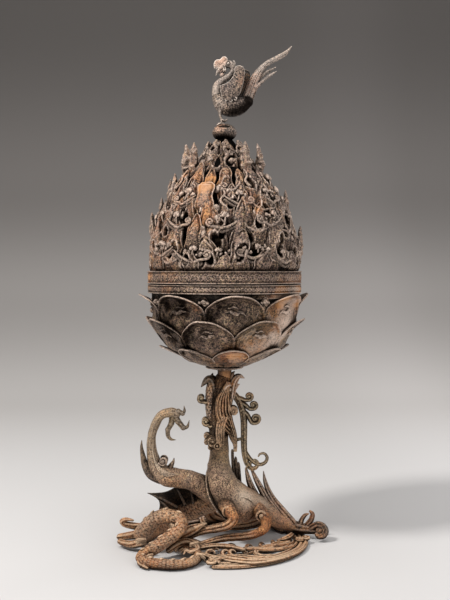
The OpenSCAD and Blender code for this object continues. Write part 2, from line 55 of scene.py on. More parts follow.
# ------------------------------------------------------------------ numbers shared with the solids
SEAM_Z, SEAM_R = 324.0, 90.0
LID_Z = SEAM_Z + 16.0
DOME = np.array([[0, 0], [12, 0.5], [24, 1.5], [36, 3.5], [48, 6.5], [60, 10.5], [72, 15.5], [84, 21.5], [96, 28.5],
                 [108, 36.5], [120, 46], [132, 56.5], [144, 67], [156, 76], [161, 80]], float)
CUP = np.array([[0, 90], [15, 90], [26, 89.5], [36, 88.5], [46, 86.5], [56, 83], [66, 77.5], [76, 69.5], [86, 57.5], [94, 43],
                [100, 25], [103, 10]], float)


def dome_r(h):
    return SEAM_R - np.interp(h, DOME[:, 0], DOME[:, 1])


def cup_r(d):
    return np.interp(d, CUP[:, 0], CUP[:, 1])


# ------------------------------------------------------------------ mesh helpers
class Build:
    """Collects closed shells, in millimetres, with a value at each point for wear, painted highlight and painted shade.
    """

    def __init__(self):
        self.v, self.q, self.t, self.w, self.n = [], [], [], [], 0

    def add(self, V, quads=None, tris=None, wear_and_shading=0.0):
        V = np.asarray(V, float).reshape(-1, 3)
        if quads is not None and len(quads):
            self.q.append(np.asarray(quads, np.int64).reshape(-1, 4) + self.n)
        if tris is not None and len(tris):
            self.t.append(np.asarray(tris, np.int64).reshape(-1, 3) + self.n)
        self.v.append(V)
        self.w.append(np.broadcast_to(np.asarray(wear_and_shading, float).ravel(), (len(V),)).astype(float))
        self.n += len(V)
        return self

    def put(self, shell, wear_and_shading=0.0, groove_shade=0.75):
        """Adds a shell; where it has a relief from -1 to 1, its crests are painted light as wear and highlight, and its
        grooves are painted dark as shade.
        """
        V, q, t = shell[:3]
        if len(shell) > 3:
            rel = shell[3]
            wear_and_shading = np.where(rel < 0, groove_shade * rel, 0) + wear_and_shading * np.where(rel < 0, 1 + rel, 1 + 0.6 * rel)
        return self.add(V, q, t, wear_and_shading)

    def obj(self, name, mat, body, nodes=(), slot=None, sharp=48.0):
        V = np.concatenate(self.v)
        Q = np.concatenate(self.q) if self.q else np.zeros((0, 4), np.int64)
        T = np.concatenate(self.t) if self.t else np.zeros((0, 3), np.int64)
        me = bpy.data.meshes.new(name)
        me.vertices.add(len(V))
        me.vertices.foreach_set("co", (V * MM).astype(np.float32).ravel())
        loops = np.concatenate([Q.ravel(), T.ravel()]).astype(np.int32)
        me.loops.add(len(loops))
        me.polygons.add(len(Q) + len(T))
        starts = np.concatenate([np.arange(len(Q)) * 4, len(Q) * 4 + np.arange(len(T)) * 3]).astype(np.int32)
        me.polygons.foreach_set("loop_start", starts)
        me.loops.foreach_set("vertex_index", loops)
        me.update(calc_edges=True)
        me.validate()
        me.polygons.foreach_set("use_smooth", np.ones(len(me.polygons), bool))
        if sharp:
            me.set_sharp_from_angle(angle=math.radians(sharp))
        # the painted shading from the spots is taken off the wear values: painted shade where positive, painted light
        # where negative
        rust, olive, painted_shading = tint_and_shading(V)
        for key, val in (("wear_and_shading", np.concatenate(self.w) - painted_shading), ("rust", rust), ("olive", olive)):
            a = me.attributes.new(key, "FLOAT", "POINT")
            a.data.foreach_set("value", np.clip(val, -1, 1).astype(np.float32))
        me.materials.append(mat)
        o = bpy.data.objects.new(name, me)
        bpy.context.scene.collection.objects.link(o)
        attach(o, body)
        if nodes:
            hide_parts(*nodes)
        return o


def catmull(P, n):
    P = np.asarray(P, float)
    out = []
    for i in range(len(P) - 1):
        a, b, c, d = P[max(i - 1, 0)], P[i], P[i + 1], P[min(i + 2, len(P) - 1)]
        for k in range(n):
            t = k / n
            out.append(0.5 * (2 * b + (c - a) * t + (2 * a - 5 * b + 4 * c - d) * t * t + (3 * b - a - 3 * c + d) * t ** 3))
    out.append(P[-1])
    return np.array(out)


def evenly(P, step):
    """The polyline P resampled at about even arc length."""
    d = np.concatenate([[0], np.cumsum(np.linalg.norm(np.diff(P[:, :3], axis=0), axis=1))])
    m = max(3, int(round(d[-1] / step)) + 1)
    s = np.linspace(0, d[-1], m)
    return np.stack([np.interp(s, d, P[:, k]) for k in range(P.shape[1])], axis=1)


def frames(C, ref=None):
    T = np.gradient(C, axis=0)
    T /= np.maximum(np.linalg.norm(T, axis=1), 1e-9)[:, None]
    if ref is None:
        ref = np.array([0, 1.0, 0]) if abs(T[0][1]) < 0.9 else np.array([1.0, 0, 0])
        n = np.cross(T[0], ref)
    else:
        n = np.asarray(ref, float)
    N = np.zeros_like(T)
    for i in range(len(T)):
        n = n - np.dot(n, T[i]) * T[i]
        n /= max(np.linalg.norm(n), 1e-9)
        N[i] = n
    return T, N, np.cross(T, N)


def ring_quads(m, s):
    i, k = np.arange(m - 1)[:, None], np.arange(s)[None, :]
    k2 = (k + 1) % s
    return np.stack([i * s + k, i * s + k2, (i + 1) * s + k2, (i + 1) * s + k], -1).reshape(-1, 4)


def tube(pts, n=8, sides=12, oval=1.0, fn=None, ref=None, step=None, wires=False):
    """A closed swept bar along points [x, y, z, radius]; fn(L, angle, radius, length) shapes its section."""
    P = catmull(pts, n) if n > 1 else np.asarray(pts, float)
    if step:
        P = evenly(P, step)
    C, R = P[:, :3], np.maximum(P[:, 3], 0.05)
    T, N, B = frames(C, ref)
    L = np.concatenate([[0], np.cumsum(np.linalg.norm(np.diff(C, axis=0), axis=1))])
    a0, a1 = np.radians([70, 42, 18]), np.radians([18, 42, 70])
    C2 = np.concatenate([C[0] - T[0] * R[0] * np.sin(a0)[:, None], C, C[-1] + T[-1] * R[-1] * np.sin(a1)[:, None]])
    R2 = np.concatenate([np.full(3, R[0]), R, np.full(3, R[-1])])
    S2 = np.concatenate([np.cos(a0), np.ones(len(C)), np.cos(a1)])
    L2 = np.concatenate([np.zeros(3), L, np.full(3, L[-1])])
    N2 = np.concatenate([np.repeat(N[:1], 3, 0), N, np.repeat(N[-1:], 3, 0)])
    B2 = np.concatenate([np.repeat(B[:1], 3, 0), B, np.repeat(B[-1:], 3, 0)])
    th = np.linspace(0, TAU, sides, endpoint=False)
    rad = R2[:, None] * np.ones(sides) if fn is None else fn(L2[:, None], th[None, :], R2[:, None], L[-1])
    rel = None
    if fn is not None:
        off = rad - R2[:, None]
        lo, hi = np.percentile(off, 8), np.percentile(off, 92)
        rel = np.clip(2 * (off - lo) / max(hi - lo, 1e-6) - 1, -1, 1) if hi - lo > 0.12 else None
    rad = rad * S2[:, None]
    V = C2[:, None, :] + rad[..., None] * (np.cos(th)[None, :, None] * N2[:, None, :] + oval * np.sin(th)[None, :, None] * B2[:, None, :])
    m = len(C2)
    V = V.reshape(-1, 3)
    p0, p1 = len(V), len(V) + 1
    V = np.concatenate([V, [C[0] - T[0] * R[0], C[-1] + T[-1] * R[-1]]])
    k = np.arange(sides)
    k2 = (k + 1) % sides
    last = (m - 1) * sides
    tris = np.concatenate([np.stack([np.full(sides, p0), k2, k], -1), np.stack([np.full(sides, p1), last + k, last + k2], -1)])
    if rel is not None:
        return V, ring_quads(m, sides), tris, np.concatenate([rel.ravel(), [0.0, 0.0]])
    return V, ring_quads(m, sides), tris


def lobes(k, amp, twist=0.0, phase=0.0):
    """A section of k rounded strands with sharp grooves between them."""
    def f(L, th, r, LT):
        return r * (1 - amp + amp * np.abs(np.cos(0.5 * k * (th + phase) + twist * L)) ** 0.7)
    return f


def scales(size, amp, start=0.0, belly=None):
    """Overlapping scales, about size mm apart; belly is a (angle, half width) left smooth with cross bars."""
    def f(L, th, r, LT):
        rm = float(np.mean(r))
        K = max(8, int(round(TAU * rm / size)))
        row = np.floor(L / size)
        fu = L / size - row
        v = th / TAU * K + 0.5 * np.mod(row, 2)
        fv = v - np.round(v)
        d = np.sqrt((fu * 0.95) ** 2 + (fv * 1.55) ** 2)
        hgt = np.clip(1.15 - d, 0, 1) * (0.25 + 0.75 * fu) * (d < 1.0)
        edge = np.clip((L - start) / (3 * size), 0, 1) * np.clip((LT - L) / (2 * size), 0, 1)
        fade = np.clip(r / rm, 0.35, 1.2)
        out = amp * hgt * edge * fade
        if belly is not None:
            da = np.abs(np.mod(th - belly[0] + math.pi, TAU) - math.pi)
            m = np.clip((belly[1] - da) / 0.18, 0, 1)
            bars = 0.5 * amp * np.clip(np.cos(L / (size * 0.8) * TAU) * 1.4, -1, 1) * edge
            out = out * (1 - m) + m * bars
        return r + out - 0.35 * amp
    return f


def revolve(profile, n=128, phase=0.0):
    """A closed ring or solid from [radius, z] points given anticlockwise in the (r, z) half plane."""
    P = np.asarray(profile, float)
    th = np.linspace(0, TAU, n, endpoint=False) + phase
    m = len(P)
    V = np.stack([P[:, 0][:, None] * np.cos(th), P[:, 0][:, None] * np.sin(th), P[:, 1][:, None] * np.ones(n)], -1).reshape(-1, 3)
    i, k = np.arange(m)[:, None], np.arange(n)[None, :]
    i2, k2 = (i + 1) % m, (k + 1) % n
    q = np.stack([i * n + k, i * n + k2, i2 * n + k2, i2 * n + k], -1).reshape(-1, 4)
    return V, q, None


def shell(F, Bk):
    """A closed plate from a front and a back grid of points, [rows up, columns to the right, 3]."""
    nv, nu = F.shape[:2]
    V = np.concatenate([F.reshape(-1, 3), Bk.reshape(-1, 3)])
    o = nv * nu
    j, i = np.arange(nv - 1)[:, None], np.arange(nu - 1)[None, :]
    a, b, c, d = j * nu + i, j * nu + i + 1, (j + 1) * nu + i + 1, (j + 1) * nu + i
    q = [np.stack([a, b, c, d], -1).reshape(-1, 4), np.stack([a, d, c, b], -1).reshape(-1, 4) + o]
    loop = np.concatenate([np.arange(nu - 1), (np.arange(nv - 1)) * nu + nu - 1, (nv - 1) * nu + np.arange(nu - 1, 0, -1), np.arange(nv - 1, 0, -1) * nu])
    l2 = np.roll(loop, -1)
    q.append(np.stack([loop, loop + o, l2 + o, l2], -1))
    return V, np.concatenate(q), None


def ball(c, r, n=14):
    c = np.asarray(c, float)
    r = np.broadcast_to(np.asarray(r, float), (3,))
    el = np.linspace(-math.pi / 2, math.pi / 2, n // 2 + 2)[1:-1]
    th = np.linspace(0, TAU, n, endpoint=False)
    V = np.stack([np.cos(el)[:, None] * np.cos(th), np.cos(el)[:, None] * np.sin(th), np.sin(el)[:, None] * np.ones(n)], -1).reshape(-1, 3)
    m = len(el)
    V = np.concatenate([V, [[0, 0, -1], [0, 0, 1]]]) * r + c
    k = np.arange(n)
    k2 = (k + 1) % n
    last = (m - 1) * n
    tris = np.concatenate([np.stack([np.full(n, m * n), k2, k], -1), np.stack([np.full(n, m * n + 1), last + k, last + k2], -1)])
    return V, ring_quads(m, n), tris


def spiral(cx, cy, R0, R1, a0, turns, n=28):
    a = a0 + np.linspace(0, 1, n) * turns * TAU
    R = R0 + (R1 - R0) * np.linspace(0, 1, n) ** 0.85
    return np.stack([cx + R * np.cos(a), cy + R * np.sin(a)], -1)


def smooth2(P, n=6):
    return catmull(np.asarray(P, float), n)


def sstep(a, b, x):
    t = np.clip((x - a) / (b - a), 0, 1)
    return t * t * (3 - 2 * t)


_LAT = np.random.default_rng(7).random((32, 32, 32))


def vnoise(P, size, shift=0.0):
    """Smooth noise from 0 to 1 at points P, its lumps about size mm across."""
    Q = np.asarray(P, float) / size + shift
    i = np.floor(Q).astype(np.int64)
    f = Q - i
    f = f * f * (3 - 2 * f)
    i, j = i % 32, (i + 1) % 32
    out = np.zeros(Q.shape[:-1])
    for x in (0, 1):
        for y in (0, 1):
            for z in (0, 1):
                w = (f[..., 0] if x else 1 - f[..., 0]) * (f[..., 1] if y else 1 - f[..., 1]) * (f[..., 2] if z else 1 - f[..., 2])
                out += w * _LAT[(j if x else i)[..., 0], (j if y else i)[..., 1], (j if z else i)[..., 2]]
    return out


def crags(P, size, shift=0.0):
    """Broken ground: 1 on sharp ridges, 0 in the clefts."""
    n = 0.0
    for k, a in ((1.0, 0.58), (0.5, 0.28), (0.26, 0.14)):
        n = n + a * (1 - np.abs(2 * vnoise(P, size * k, shift + 3.7 * k) - 1))
    return n


def rough_up(shell, amp, size=4.0, seed=0.0):
    """The same shell with its surface broken up a little."""
    V = shell[0]
    d = np.stack([vnoise(V, size, seed + k) - 0.5 for k in (0.0, 7.3, 13.1)], -1)
    return (V + 2 * amp * d,) + tuple(shell[1:])


BODY = [[-7, -2, 96, 14.5], [-5, -3, 82, 18], [1, -4, 67, 21], [16, -2, 54, 21], [32, 2, 47, 18.5], [48, 7, 39, 14], [64, 12, 28, 11], [82, 16, 17, 8.5]]
NECK = [[-7, -2, 94, 14.6], [-7, -2, 97, 14.2], [-6.5, 0, 108, 12.4], [-6.5, 0, 120, 11.6], [-6.5, 0, 133, 11.4]]
HEAD = [[-6.5, 0, 128, 11.2], [-7, 0, 142, 12.2], [-7.6, 0, 156, 13.2], [-7.2, 0, 172, 13.2], [-5.4, 0, 188, 12.4], [-2, 0, 204, 10.6]]


# ------------------------------------------------------------------ where the patina is rusty or olive, and where light and shade are painted
SPOTS = [  # x, y, z, radius, rust, olive
    (30, -95, 10, 34, 0.20, 0), (78, -58, 10, 28, 0.18, 0), (-30, -80, 8, 22, 0.12, 0),
    (6, -12, 216, 12, 0.5, 0.0),
    (-78, -45, 385, 36, 0.60, 0), (-66, -60, 350, 20, 0.45, 0), (-40, -75, 425, 22, 0.45, 0), (-17, -62, 436, 15, 1.05, 0), (-8, -56, 452, 14, 0.35, 0), (-48, -40, 462, 28, 0.50, 0),
    (36, -72, 416, 15, 0.70, 0), (-16, -84, 398, 16, 0.60, 0), (14, -52, 462, 16, 0.45, 0), (58, -50, 445, 18, 0.25, 0), (40, -90, 362, 40, -0.40, 0),
    (-30, -92, 360, 22, -0.30, 0.1), (88, -30, 317, 22, 0.95, 0), (64, -68, 316, 16, 0.85, 0), (66, -64, 308, 14, 0.6, 0), (96, -36, 296, 20, 0.55, 0), (72, -62, 288, 26, 0.50, 0.15), (50, -68, 262, 24, 0.35, 0.45), (80, -40, 268, 20, 0.40, 0.4), (44, -60, 246, 18, 0.4, 0.4), (-89, -25, 332, 11, 0.95, 0.2), (-70, -62, 317, 12, 0.45, 0),
    (6, -58, 240, 20, 0.75, 0.1), (20, -68, 232, 16, 0.55, 0.1), (-34, -84, 300, 10, 0.55, 0),
    (0, 0, 212, 14, 0.70, 0), (19, 0, 199, 14, 0.60, 0), (6, -14, 165, 24, 0.35, 0.1), (30, -10, 62, 20, 0.25, 0.1),
    (6, -44, 44, 14, 0.35, 0), (49, -24, 34, 14, 0.40, 0.1), (-88, -8, 136, 32, -0.1, 0.85), (-70, -8, 160, 22, 0, 0.5), (-80, -8, 84, 22, 0.05, -0.10), (-50, -8, 84, 30, 0.08, -0.05),
    (2, -8, 110, 16, 0, 0.65), (-14, -8, 100, 16, 0.05, -0.1), (28, -16, 58, 14, 0.30, 0.15), (-66, -12, 24, 30, 0.15, 0), (60, -56, 258, 32, 0, 1.0), (36, -74, 268, 22, 0.1, 0.45), (30, 2, 130, 40, 0.05, 0.45), (-30, -50, 262, 30, -0.1, 0),
    (50, 8, 60, 24, 0.2, 0.3), (-5, -5, 75, 22, -0.25, 0), (10, -8, 50, 18, -0.2, 0), (35, -4, 570, 15, 0.8, 0), (-2.6, -2, 582.8, 4.5, 0.9, 0), (-5, 0, 599, 10, 0.7, 0), (-8, -4, 572, 8, 0.5, 0), (-6, -8, 516, 14, 0.20, 0.1),
    (-4, 0, 600, 9, 0.40, 0), (-14, -6, 556, 10, 0.1, 0.3), (10, 80, 400, 50, 0.40, 0), (70, 50, 370, 40, 0.35, 0), (-60, 70, 270, 50, 0.2, 0.4),
    (70, 60, 290, 40, 0.1, 0.5),
]


SHADING_SPOTS = [  # x, y, z, radius, amount: painted shade where the amount is positive, painted light where it is negative
    (-70, -60, 290, 30, 0.30), (-60, -60, 262, 26, 0.25), (80, -48, 292, 30, -0.80), (62, -50, 258, 28, -0.88), (14, -62, 246, 20, -0.30), (10, -50, 236, 22, -0.14), (0, -100, 20, 34, -0.56), (60, -80, 10, 34, -0.56), (-40, -90, 10, 30, -0.26),
    (-55, -78, 296, 15, 0.55), (-8, -96, 296, 14, 0.35), (-68, -62, 274, 15, 0.60), (-40, -70, 262, 12, 0.30), (-30, -60, 246, 12, 0.45), (-84, -40, 296, 12, 0.30),
    (0, -14, 488, 17, 0.60), (0, 12, 488, 17, 0.50), (0, -26, 472, 14, 0.36), (0, -40, 466, 34, 0.10), (-14, -12, 110, 13, 0.95), (4, -14, 131, 11, 0.80), (-18, -10, 92, 9, 0.25), (-30, -10, 76, 10, 0.40), (-4, -22, 72, 13, 0.42), (27, -20, 62, 12, -0.75), (46, -6, 52, 10, -0.35), (-4, -18, 58, 9, 0.35), (-62, -10, 84, 12, 0.15), (82, -46, 316, 16, -0.30), (18, -8, 536, 12, 1.0), (7, -8, 534, 9, 0.8), (28, -4, 541, 9, 1.0), (0, -4, 500, 9, 0.4), (-4, -12, 250, 10, 0.2),
    (-15, -8, 180, 13, 0.25), (8, -6, 150, 12, 0.20), (-56, 4, 44, 20, 0.5), (30, -14, 32, 12, 0.5), (0, -12, 36, 12, 0.5),
]


def tint_and_shading(V):
    z = V[:, 2]
    rust = np.interp(z, [0, 35, 60, 95, 200, 240, 300, 345, 430, 500, 530], [0.66, 0.52, 0.20, 0.08, 0.22, 0.10, 0.04, 0.08, 0.22, 0.14, 0.04])
    olive = np.interp(z, [0, 60, 110, 200, 260, 320, 420, 530], [0.05, 0.12, 0.30, 0.22, 0.12, 0.06, 0.03, 0.06])
    for x, y, zz, R, ru, ol in SPOTS:
        g = np.exp(-((V[:, 0] - x) ** 2 + (V[:, 1] - y) ** 2 + (z - zz) ** 2) / (R * R))
        rust = rust + ru * g
        olive = olive + ol * g
    painted_shading = np.zeros(len(V))
    for x, y, zz, R, k in SHADING_SPOTS:
        painted_shading = painted_shading + k * np.exp(-((V[:, 0] - x) ** 2 + (V[:, 1] - y) ** 2 + (z - zz) ** 2) / (R * R))
    return rust, olive, painted_shading


# ------------------------------------------------------------------ materials
def lin(*c):
    return tuple((x / 255 / 12.92) if x / 255 <= 0.04045 else ((x / 255 + 0.055) / 1.055) ** 2.4 for x in c) + (1.0,)


def dim(c, k):
    return tuple(k * x for x in c[:3]) + (1.0,)


class Nodes:
    def __init__(self, name):
        self.mat = bpy.data.materials.new(name)
        self.mat.use_nodes = True
        self.t = self.mat.node_tree
        self.bsdf = self.t.nodes["Principled BSDF"]

    def node(self, kind, **props):
        n = self.t.nodes.new(kind)
        for k, v in props.items():
            setattr(n, k, v)
        return n

    def link(self, a, b):
        self.t.links.new(a, b)

    def noise(self, co, scale, detail=5.0, rough=0.55, dist=0.0):
        n = self.node("ShaderNodeTexNoise")
        n.inputs["Scale"].default_value = scale
        n.inputs["Detail"].default_value = detail
        n.inputs["Roughness"].default_value = rough
        n.inputs["Distortion"].default_value = dist
        self.link(co, n.inputs["Vector"])
        return n.outputs["Fac"]

    def math(self, op, a, b=None, c=None, clamp=False):
        n = self.node("ShaderNodeMath", operation=op, use_clamp=clamp)
        for i, x in enumerate((a, b, c)):
            if x is None:
                continue
            if isinstance(x, (int, float)):
                n.inputs[i].default_value = x
            else:
                self.link(x, n.inputs[i])
        return n.outputs[0]

    def ramp(self, x, lo, hi):
        n = self.node("ShaderNodeMapRange", interpolation_type="SMOOTHSTEP")
        n.inputs["From Min"].default_value = lo
        n.inputs["From Max"].default_value = hi
        self.link(x, n.inputs["Value"])
        return n.outputs["Result"]

    def mix(self, fac, a, b, mode="MIX"):
        n = self.node("ShaderNodeMix", data_type="RGBA", blend_type=mode)
        for sock, x in ((n.inputs[0], fac), (n.inputs[6], a), (n.inputs[7], b)):
            if isinstance(x, (int, float)):
                sock.default_value = x
            elif isinstance(x, tuple):
                sock.default_value = x
            else:
                self.link(x, sock)
        return n.outputs[2]

    def attr(self, name):
        n = self.node("ShaderNodeAttribute", attribute_type="GEOMETRY", attribute_name=name)
        return n.outputs["Fac"]


def bronze(name, dark, mid, light, rust, ochre, olive, worn, gold, rust_gain=1.0, olive_gain=1.0, wear_and_highlight_gain=1.0, metallic=0.30, bump=1.0, pits=0.72, grain=1.0, matte_shade=0.0, rough=0.34):
    m = Nodes(name)
    co = m.node("ShaderNodeTexCoord").outputs["Object"]
    big = m.noise(co, 30, 5, 0.60, 0.5)
    blotch = m.noise(co, 88, 6, 0.64, 0.4)
    fine = m.noise(co, 320 * grain, 4, 0.66)
    grit = m.noise(co, 640 * grain, 3, 0.70)
    speck = m.node("ShaderNodeTexVoronoi", feature="F1")
    speck.inputs["Scale"].default_value = 520
    m.link(co, speck.inputs["Vector"])
    geo = m.node("ShaderNodeNewGeometry")
    point = geo.outputs["Pointiness"]
    tone = m.math("MULTIPLY_ADD", fine, 0.55, m.math("MULTIPLY", grit, 0.45))
    col = m.mix(m.ramp(tone, 0.41, 0.55), dark, mid)
    col = m.mix(m.math("MULTIPLY", m.ramp(tone, 0.50, 0.62), m.math("MULTIPLY_ADD", m.ramp(blotch, 0.40, 0.64), 0.8, 0.2)), col, light)
    # gold-tan speckle
    sp = m.math("MULTIPLY", m.ramp(grit, 0.54, 0.66), m.ramp(blotch, 0.36, 0.60))
    col = m.mix(m.math("MULTIPLY", sp, 0.80), col, gold)
    # single flecks, some bright and some dark
    cell = m.node("ShaderNodeSeparateColor")
    m.link(speck.outputs["Color"], cell.inputs[0])
    spot = m.ramp(speck.outputs["Distance"], 0.62, 0.30)
    fleck = m.math("MULTIPLY", m.math("MULTIPLY", m.ramp(cell.outputs[0], 0.64, 0.80), spot), m.math("MULTIPLY_ADD", m.ramp(blotch, 0.38, 0.60), 0.7, 0.3))
    hole = m.math("MULTIPLY", m.math("MULTIPLY", m.ramp(cell.outputs[0], 0.26, 0.12), spot), m.math("MULTIPLY_ADD", m.ramp(blotch, 0.62, 0.40), 0.6, 0.4))
    col = m.mix(m.math("MULTIPLY", fleck, 0.84), col, gold)
    # khaki film
    ol = m.math("MULTIPLY", m.attr("olive"), 1.25 * olive_gain)
    ol = m.math("MULTIPLY", ol, m.math("MULTIPLY_ADD", m.ramp(tone, 0.34, 0.64), 0.85, 0.12), clamp=True)
    col = m.mix(m.math("MULTIPLY", ol, 0.85), col, m.mix(m.ramp(fine, 0.36, 0.66), dim(olive, 0.50), olive))
    # rust, broken up by the grain
    ru = m.math("MULTIPLY_ADD", big, 2.2, m.math("MULTIPLY_ADD", m.attr("rust"), 1.35 * rust_gain, -1.42))
    ru = m.math("ADD", ru, m.math("MULTIPLY_ADD", tone, 2.4, -1.2), clamp=True)
    rc = m.mix(m.ramp(blotch, 0.40, 0.68), rust, ochre)
    rc = m.mix(m.ramp(tone, 0.56, 0.38), rc, dim(rust, 0.30))
    col = m.mix(m.math("MULTIPLY", ru, 0.88), col, rc)
    calm = m.ramp(m.attr("rust"), 0.86, 0.99)
    col = m.mix(m.math("MULTIPLY", calm, 0.80), col, m.mix(m.ramp(blotch, 0.30, 0.75), dim(ochre, 0.80), ochre))
    col = m.mix(1.0, col, m.mix(m.ramp(big, 0.36, 0.64), (0.76, 0.72, 0.74, 1.0), (1.15, 1.11, 1.05, 1.0)), "MULTIPLY")
    # worn edges and painted highlights in the worn colour, where the wear value is positive and on convex edges
    att = m.attr("wear_and_shading")
    we = m.math("MULTIPLY", m.math("MAXIMUM", att, 0.0), m.math("MULTIPLY_ADD", fine, 3.2, -0.55, clamp=True))
    pt = m.ramp(point, 0.515, 0.60)
    pt = m.math("MULTIPLY", pt, m.math("MULTIPLY_ADD", tone, 3.0, -0.85, clamp=True))
    we = m.math("MULTIPLY", m.math("ADD", we, pt, clamp=True), 0.86 * wear_and_highlight_gain, clamp=True)
    # darkened as dirt and as painted shade where the wear value is negative, in concave creases found by pointiness,
    # and over the whole of a matte-shade material
    dirt_and_shade = m.math("MULTIPLY", m.math("MAXIMUM", m.math("MULTIPLY", att, -1.0), 0.0), 0.95, clamp=True)
    dirt_and_shade = m.math("MAXIMUM", m.math("MAXIMUM", dirt_and_shade, matte_shade), m.ramp(point, 0.475, 0.40))
    we = m.math("MULTIPLY", we, m.math("SUBTRACT", 1.0, dirt_and_shade, clamp=True))
    col = m.mix(dirt_and_shade, col, dim(dark, 0.28))
    col = m.mix(we, col, worn)
    pit = m.math("MULTIPLY", m.ramp(speck.outputs["Distance"], 0.36, 0.10), m.ramp(blotch, 0.44, 0.64))
    pit = m.math("MULTIPLY", m.math("MAXIMUM", pit, hole), m.math("MULTIPLY_ADD", calm, -0.9, 1.0))
    col = m.mix(m.math("MULTIPLY", pit, pits), col, dim(dark, 0.35))
    # painted shade: the base colour is darkened by ambient occlusion in recesses and between parts
    ao = m.node("ShaderNodeAmbientOcclusion", samples=6)
    ao.inputs["Distance"].default_value = 0.015
    cav = m.ramp(ao.outputs["AO"], 0.38, 0.97)
    col = m.mix(cav, m.mix(1.0, col, (0.07, 0.055, 0.045, 1.0), "MULTIPLY"), col)
    m.link(col, m.bsdf.inputs["Base Color"])
    rg = m.math("MULTIPLY_ADD", tone, 0.40, rough)
    rg = m.math("ADD", rg, m.math("MULTIPLY", ru, 0.16))
    rg = m.math("SUBTRACT", rg, m.math("MULTIPLY", we, 0.12), clamp=True)
    rg = m.math("MAXIMUM", rg, m.math("MULTIPLY", dirt_and_shade, 0.95))
    m.link(rg, m.bsdf.inputs["Roughness"])
    clean_unshaded = m.math("MULTIPLY", m.math("SUBTRACT", 1.0, dirt_and_shade, clamp=True), m.math("MULTIPLY_ADD", cav, 0.8, 0.2))
    m.link(m.math("MULTIPLY", clean_unshaded, metallic), m.bsdf.inputs["Metallic"])
    m.link(m.math("MULTIPLY", clean_unshaded, 0.5), m.bsdf.inputs["Specular IOR Level"])
    h = m.math("MULTIPLY_ADD", fine, 1.0, m.math("MULTIPLY", grit, 0.45))
    h = m.math("SUBTRACT", h, m.math("MULTIPLY", pit, 0.8))
    b = m.node("ShaderNodeBump")
    b.inputs["Strength"].default_value = 0.75 * bump
    b.inputs["Distance"].default_value = 0.0013
    m.link(h, b.inputs["Height"])
    m.link(b.outputs["Normal"], m.bsdf.inputs["Normal"])
    return m.mat


RUST, OCHRE = lin(168, 106, 64), lin(220, 160, 100)
OLIVE = lin(176, 154, 118)
GOLD = lin(222, 196, 156)
BROWN = bronze("patina_brown", lin(30, 24, 21), lin(128, 103, 91), lin(197, 164, 147), RUST, OCHRE, OLIVE, lin(232, 208, 190), GOLD, wear_and_highlight_gain=1.1)
RUSTY = bronze("patina_rust", lin(32, 22, 17), lin(144, 106, 81), lin(218, 175, 141), RUST, OCHRE, OLIVE, lin(232, 200, 166), GOLD, rust_gain=1.15, pits=0.6)
SKIN = bronze("patina_skin", lin(36, 28, 24), lin(164, 132, 112), lin(244, 212, 184), RUST, OCHRE, OLIVE, lin(236, 216, 192), GOLD, pits=0.34, grain=1.5, metallic=0.36, rough=0.26)
# near-black for the lid shell seen between the peaks, painted as the shade in the recesses
SHADE_BLACK = bronze("painted_shade_black", lin(9, 7, 6), lin(26, 21, 18), lin(44, 37, 32), RUST, OCHRE, OLIVE, lin(60, 50, 43), lin(54, 45, 38), rust_gain=0.2, olive_gain=0.2, metallic=0.1, matte_shade=0.9)
OLIV = bronze("patina_olive", lin(29, 24, 19), lin(116, 95, 75), lin(174, 152, 122), RUST, OCHRE, lin(164, 144, 108), lin(214, 195, 162), GOLD, olive_gain=0.9)
DARK = bronze("patina_dark", lin(18, 14, 12), lin(60, 50, 44), lin(106, 91, 82), RUST, OCHRE, OLIVE, lin(190, 172, 154), lin(130, 108, 84), rust_gain=0.7, wear_and_highlight_gain=0.8)
WORN = bronze("worn_bronze", lin(36, 30, 27), lin(118, 104, 96), lin(184, 167, 157), lin(186, 136, 108), lin(216, 172, 146), OLIVE, lin(238, 222, 208), lin(200, 178, 156), rust_gain=1.0, pits=0.14)


# ------------------------------------------------------------------ lid: hills on the dome
def tier_r(h, h0, hs, h1, flare):
    """Radius of the back of a peak that leaves the dome at hs and stands off it at its tip."""
    h = np.asarray(h, float)
    f = np.clip((h - hs) / (h1 - hs), 0, 1.12)
    tip = dome_r(min(h1, 161)) + flare
    bez = dome_r(hs) * (1 - f) ** 2 + 2 * f * (1 - f) * (0.5 * (dome_r(hs) + tip) + 2.5) + tip * f * f
    return np.where(h <= hs, dome_r(h), bez)


class Place:
    """Maps plate coordinates, s mm to the right and h mm up, lifted off the surface, to the row frame."""

    def __init__(self, az, radius, z0):
        self.az, self.radius, self.z0 = math.radians(az), radius, z0

    def __call__(self, s, h, lift):
        s, h, lift = np.broadcast_arrays(np.asarray(s, float), np.asarray(h, float), np.asarray(lift, float))
        r = self.radius(h)
        a = self.az + s / np.maximum(r, 8.0)
        dr = (self.radius(h + 0.5) - self.radius(h - 0.5))
        k = 1.0 / np.sqrt(1 + dr * dr)
        R = r + lift * k
        return np.stack([R * np.cos(a), R * np.sin(a), self.z0 + h - lift * k * dr], -1)


def wire(b, place, path, r0, r1=None, lift=0.6, wear_and_shading=0.6, sides=7, step=1.2):
    """A raised line on a plate along 2-D points."""
    P = np.asarray(path, float)
    r1 = r0 if r1 is None else r1
    r = np.linspace(r0, r1, len(P))
    D = place(P[:, 0], P[:, 1], lift)
    Q = np.concatenate([D, r[:, None]], 1)
    b.put(tube(evenly(Q, step), 1, sides), wear_and_shading)


def edge_of(S, Hh, line):
    """Distance in mm from each grid point to an outline."""
    d = (S[..., None] - line[:, 0]) ** 2 + (Hh[..., None] - line[:, 1]) ** 2
    return np.sqrt(d.min(-1))


SHAPES = ((0.60, 0.30), (0.78, 0.50), (0.46, 0.05), (0.66, 0.62), (0.14, 0.0))


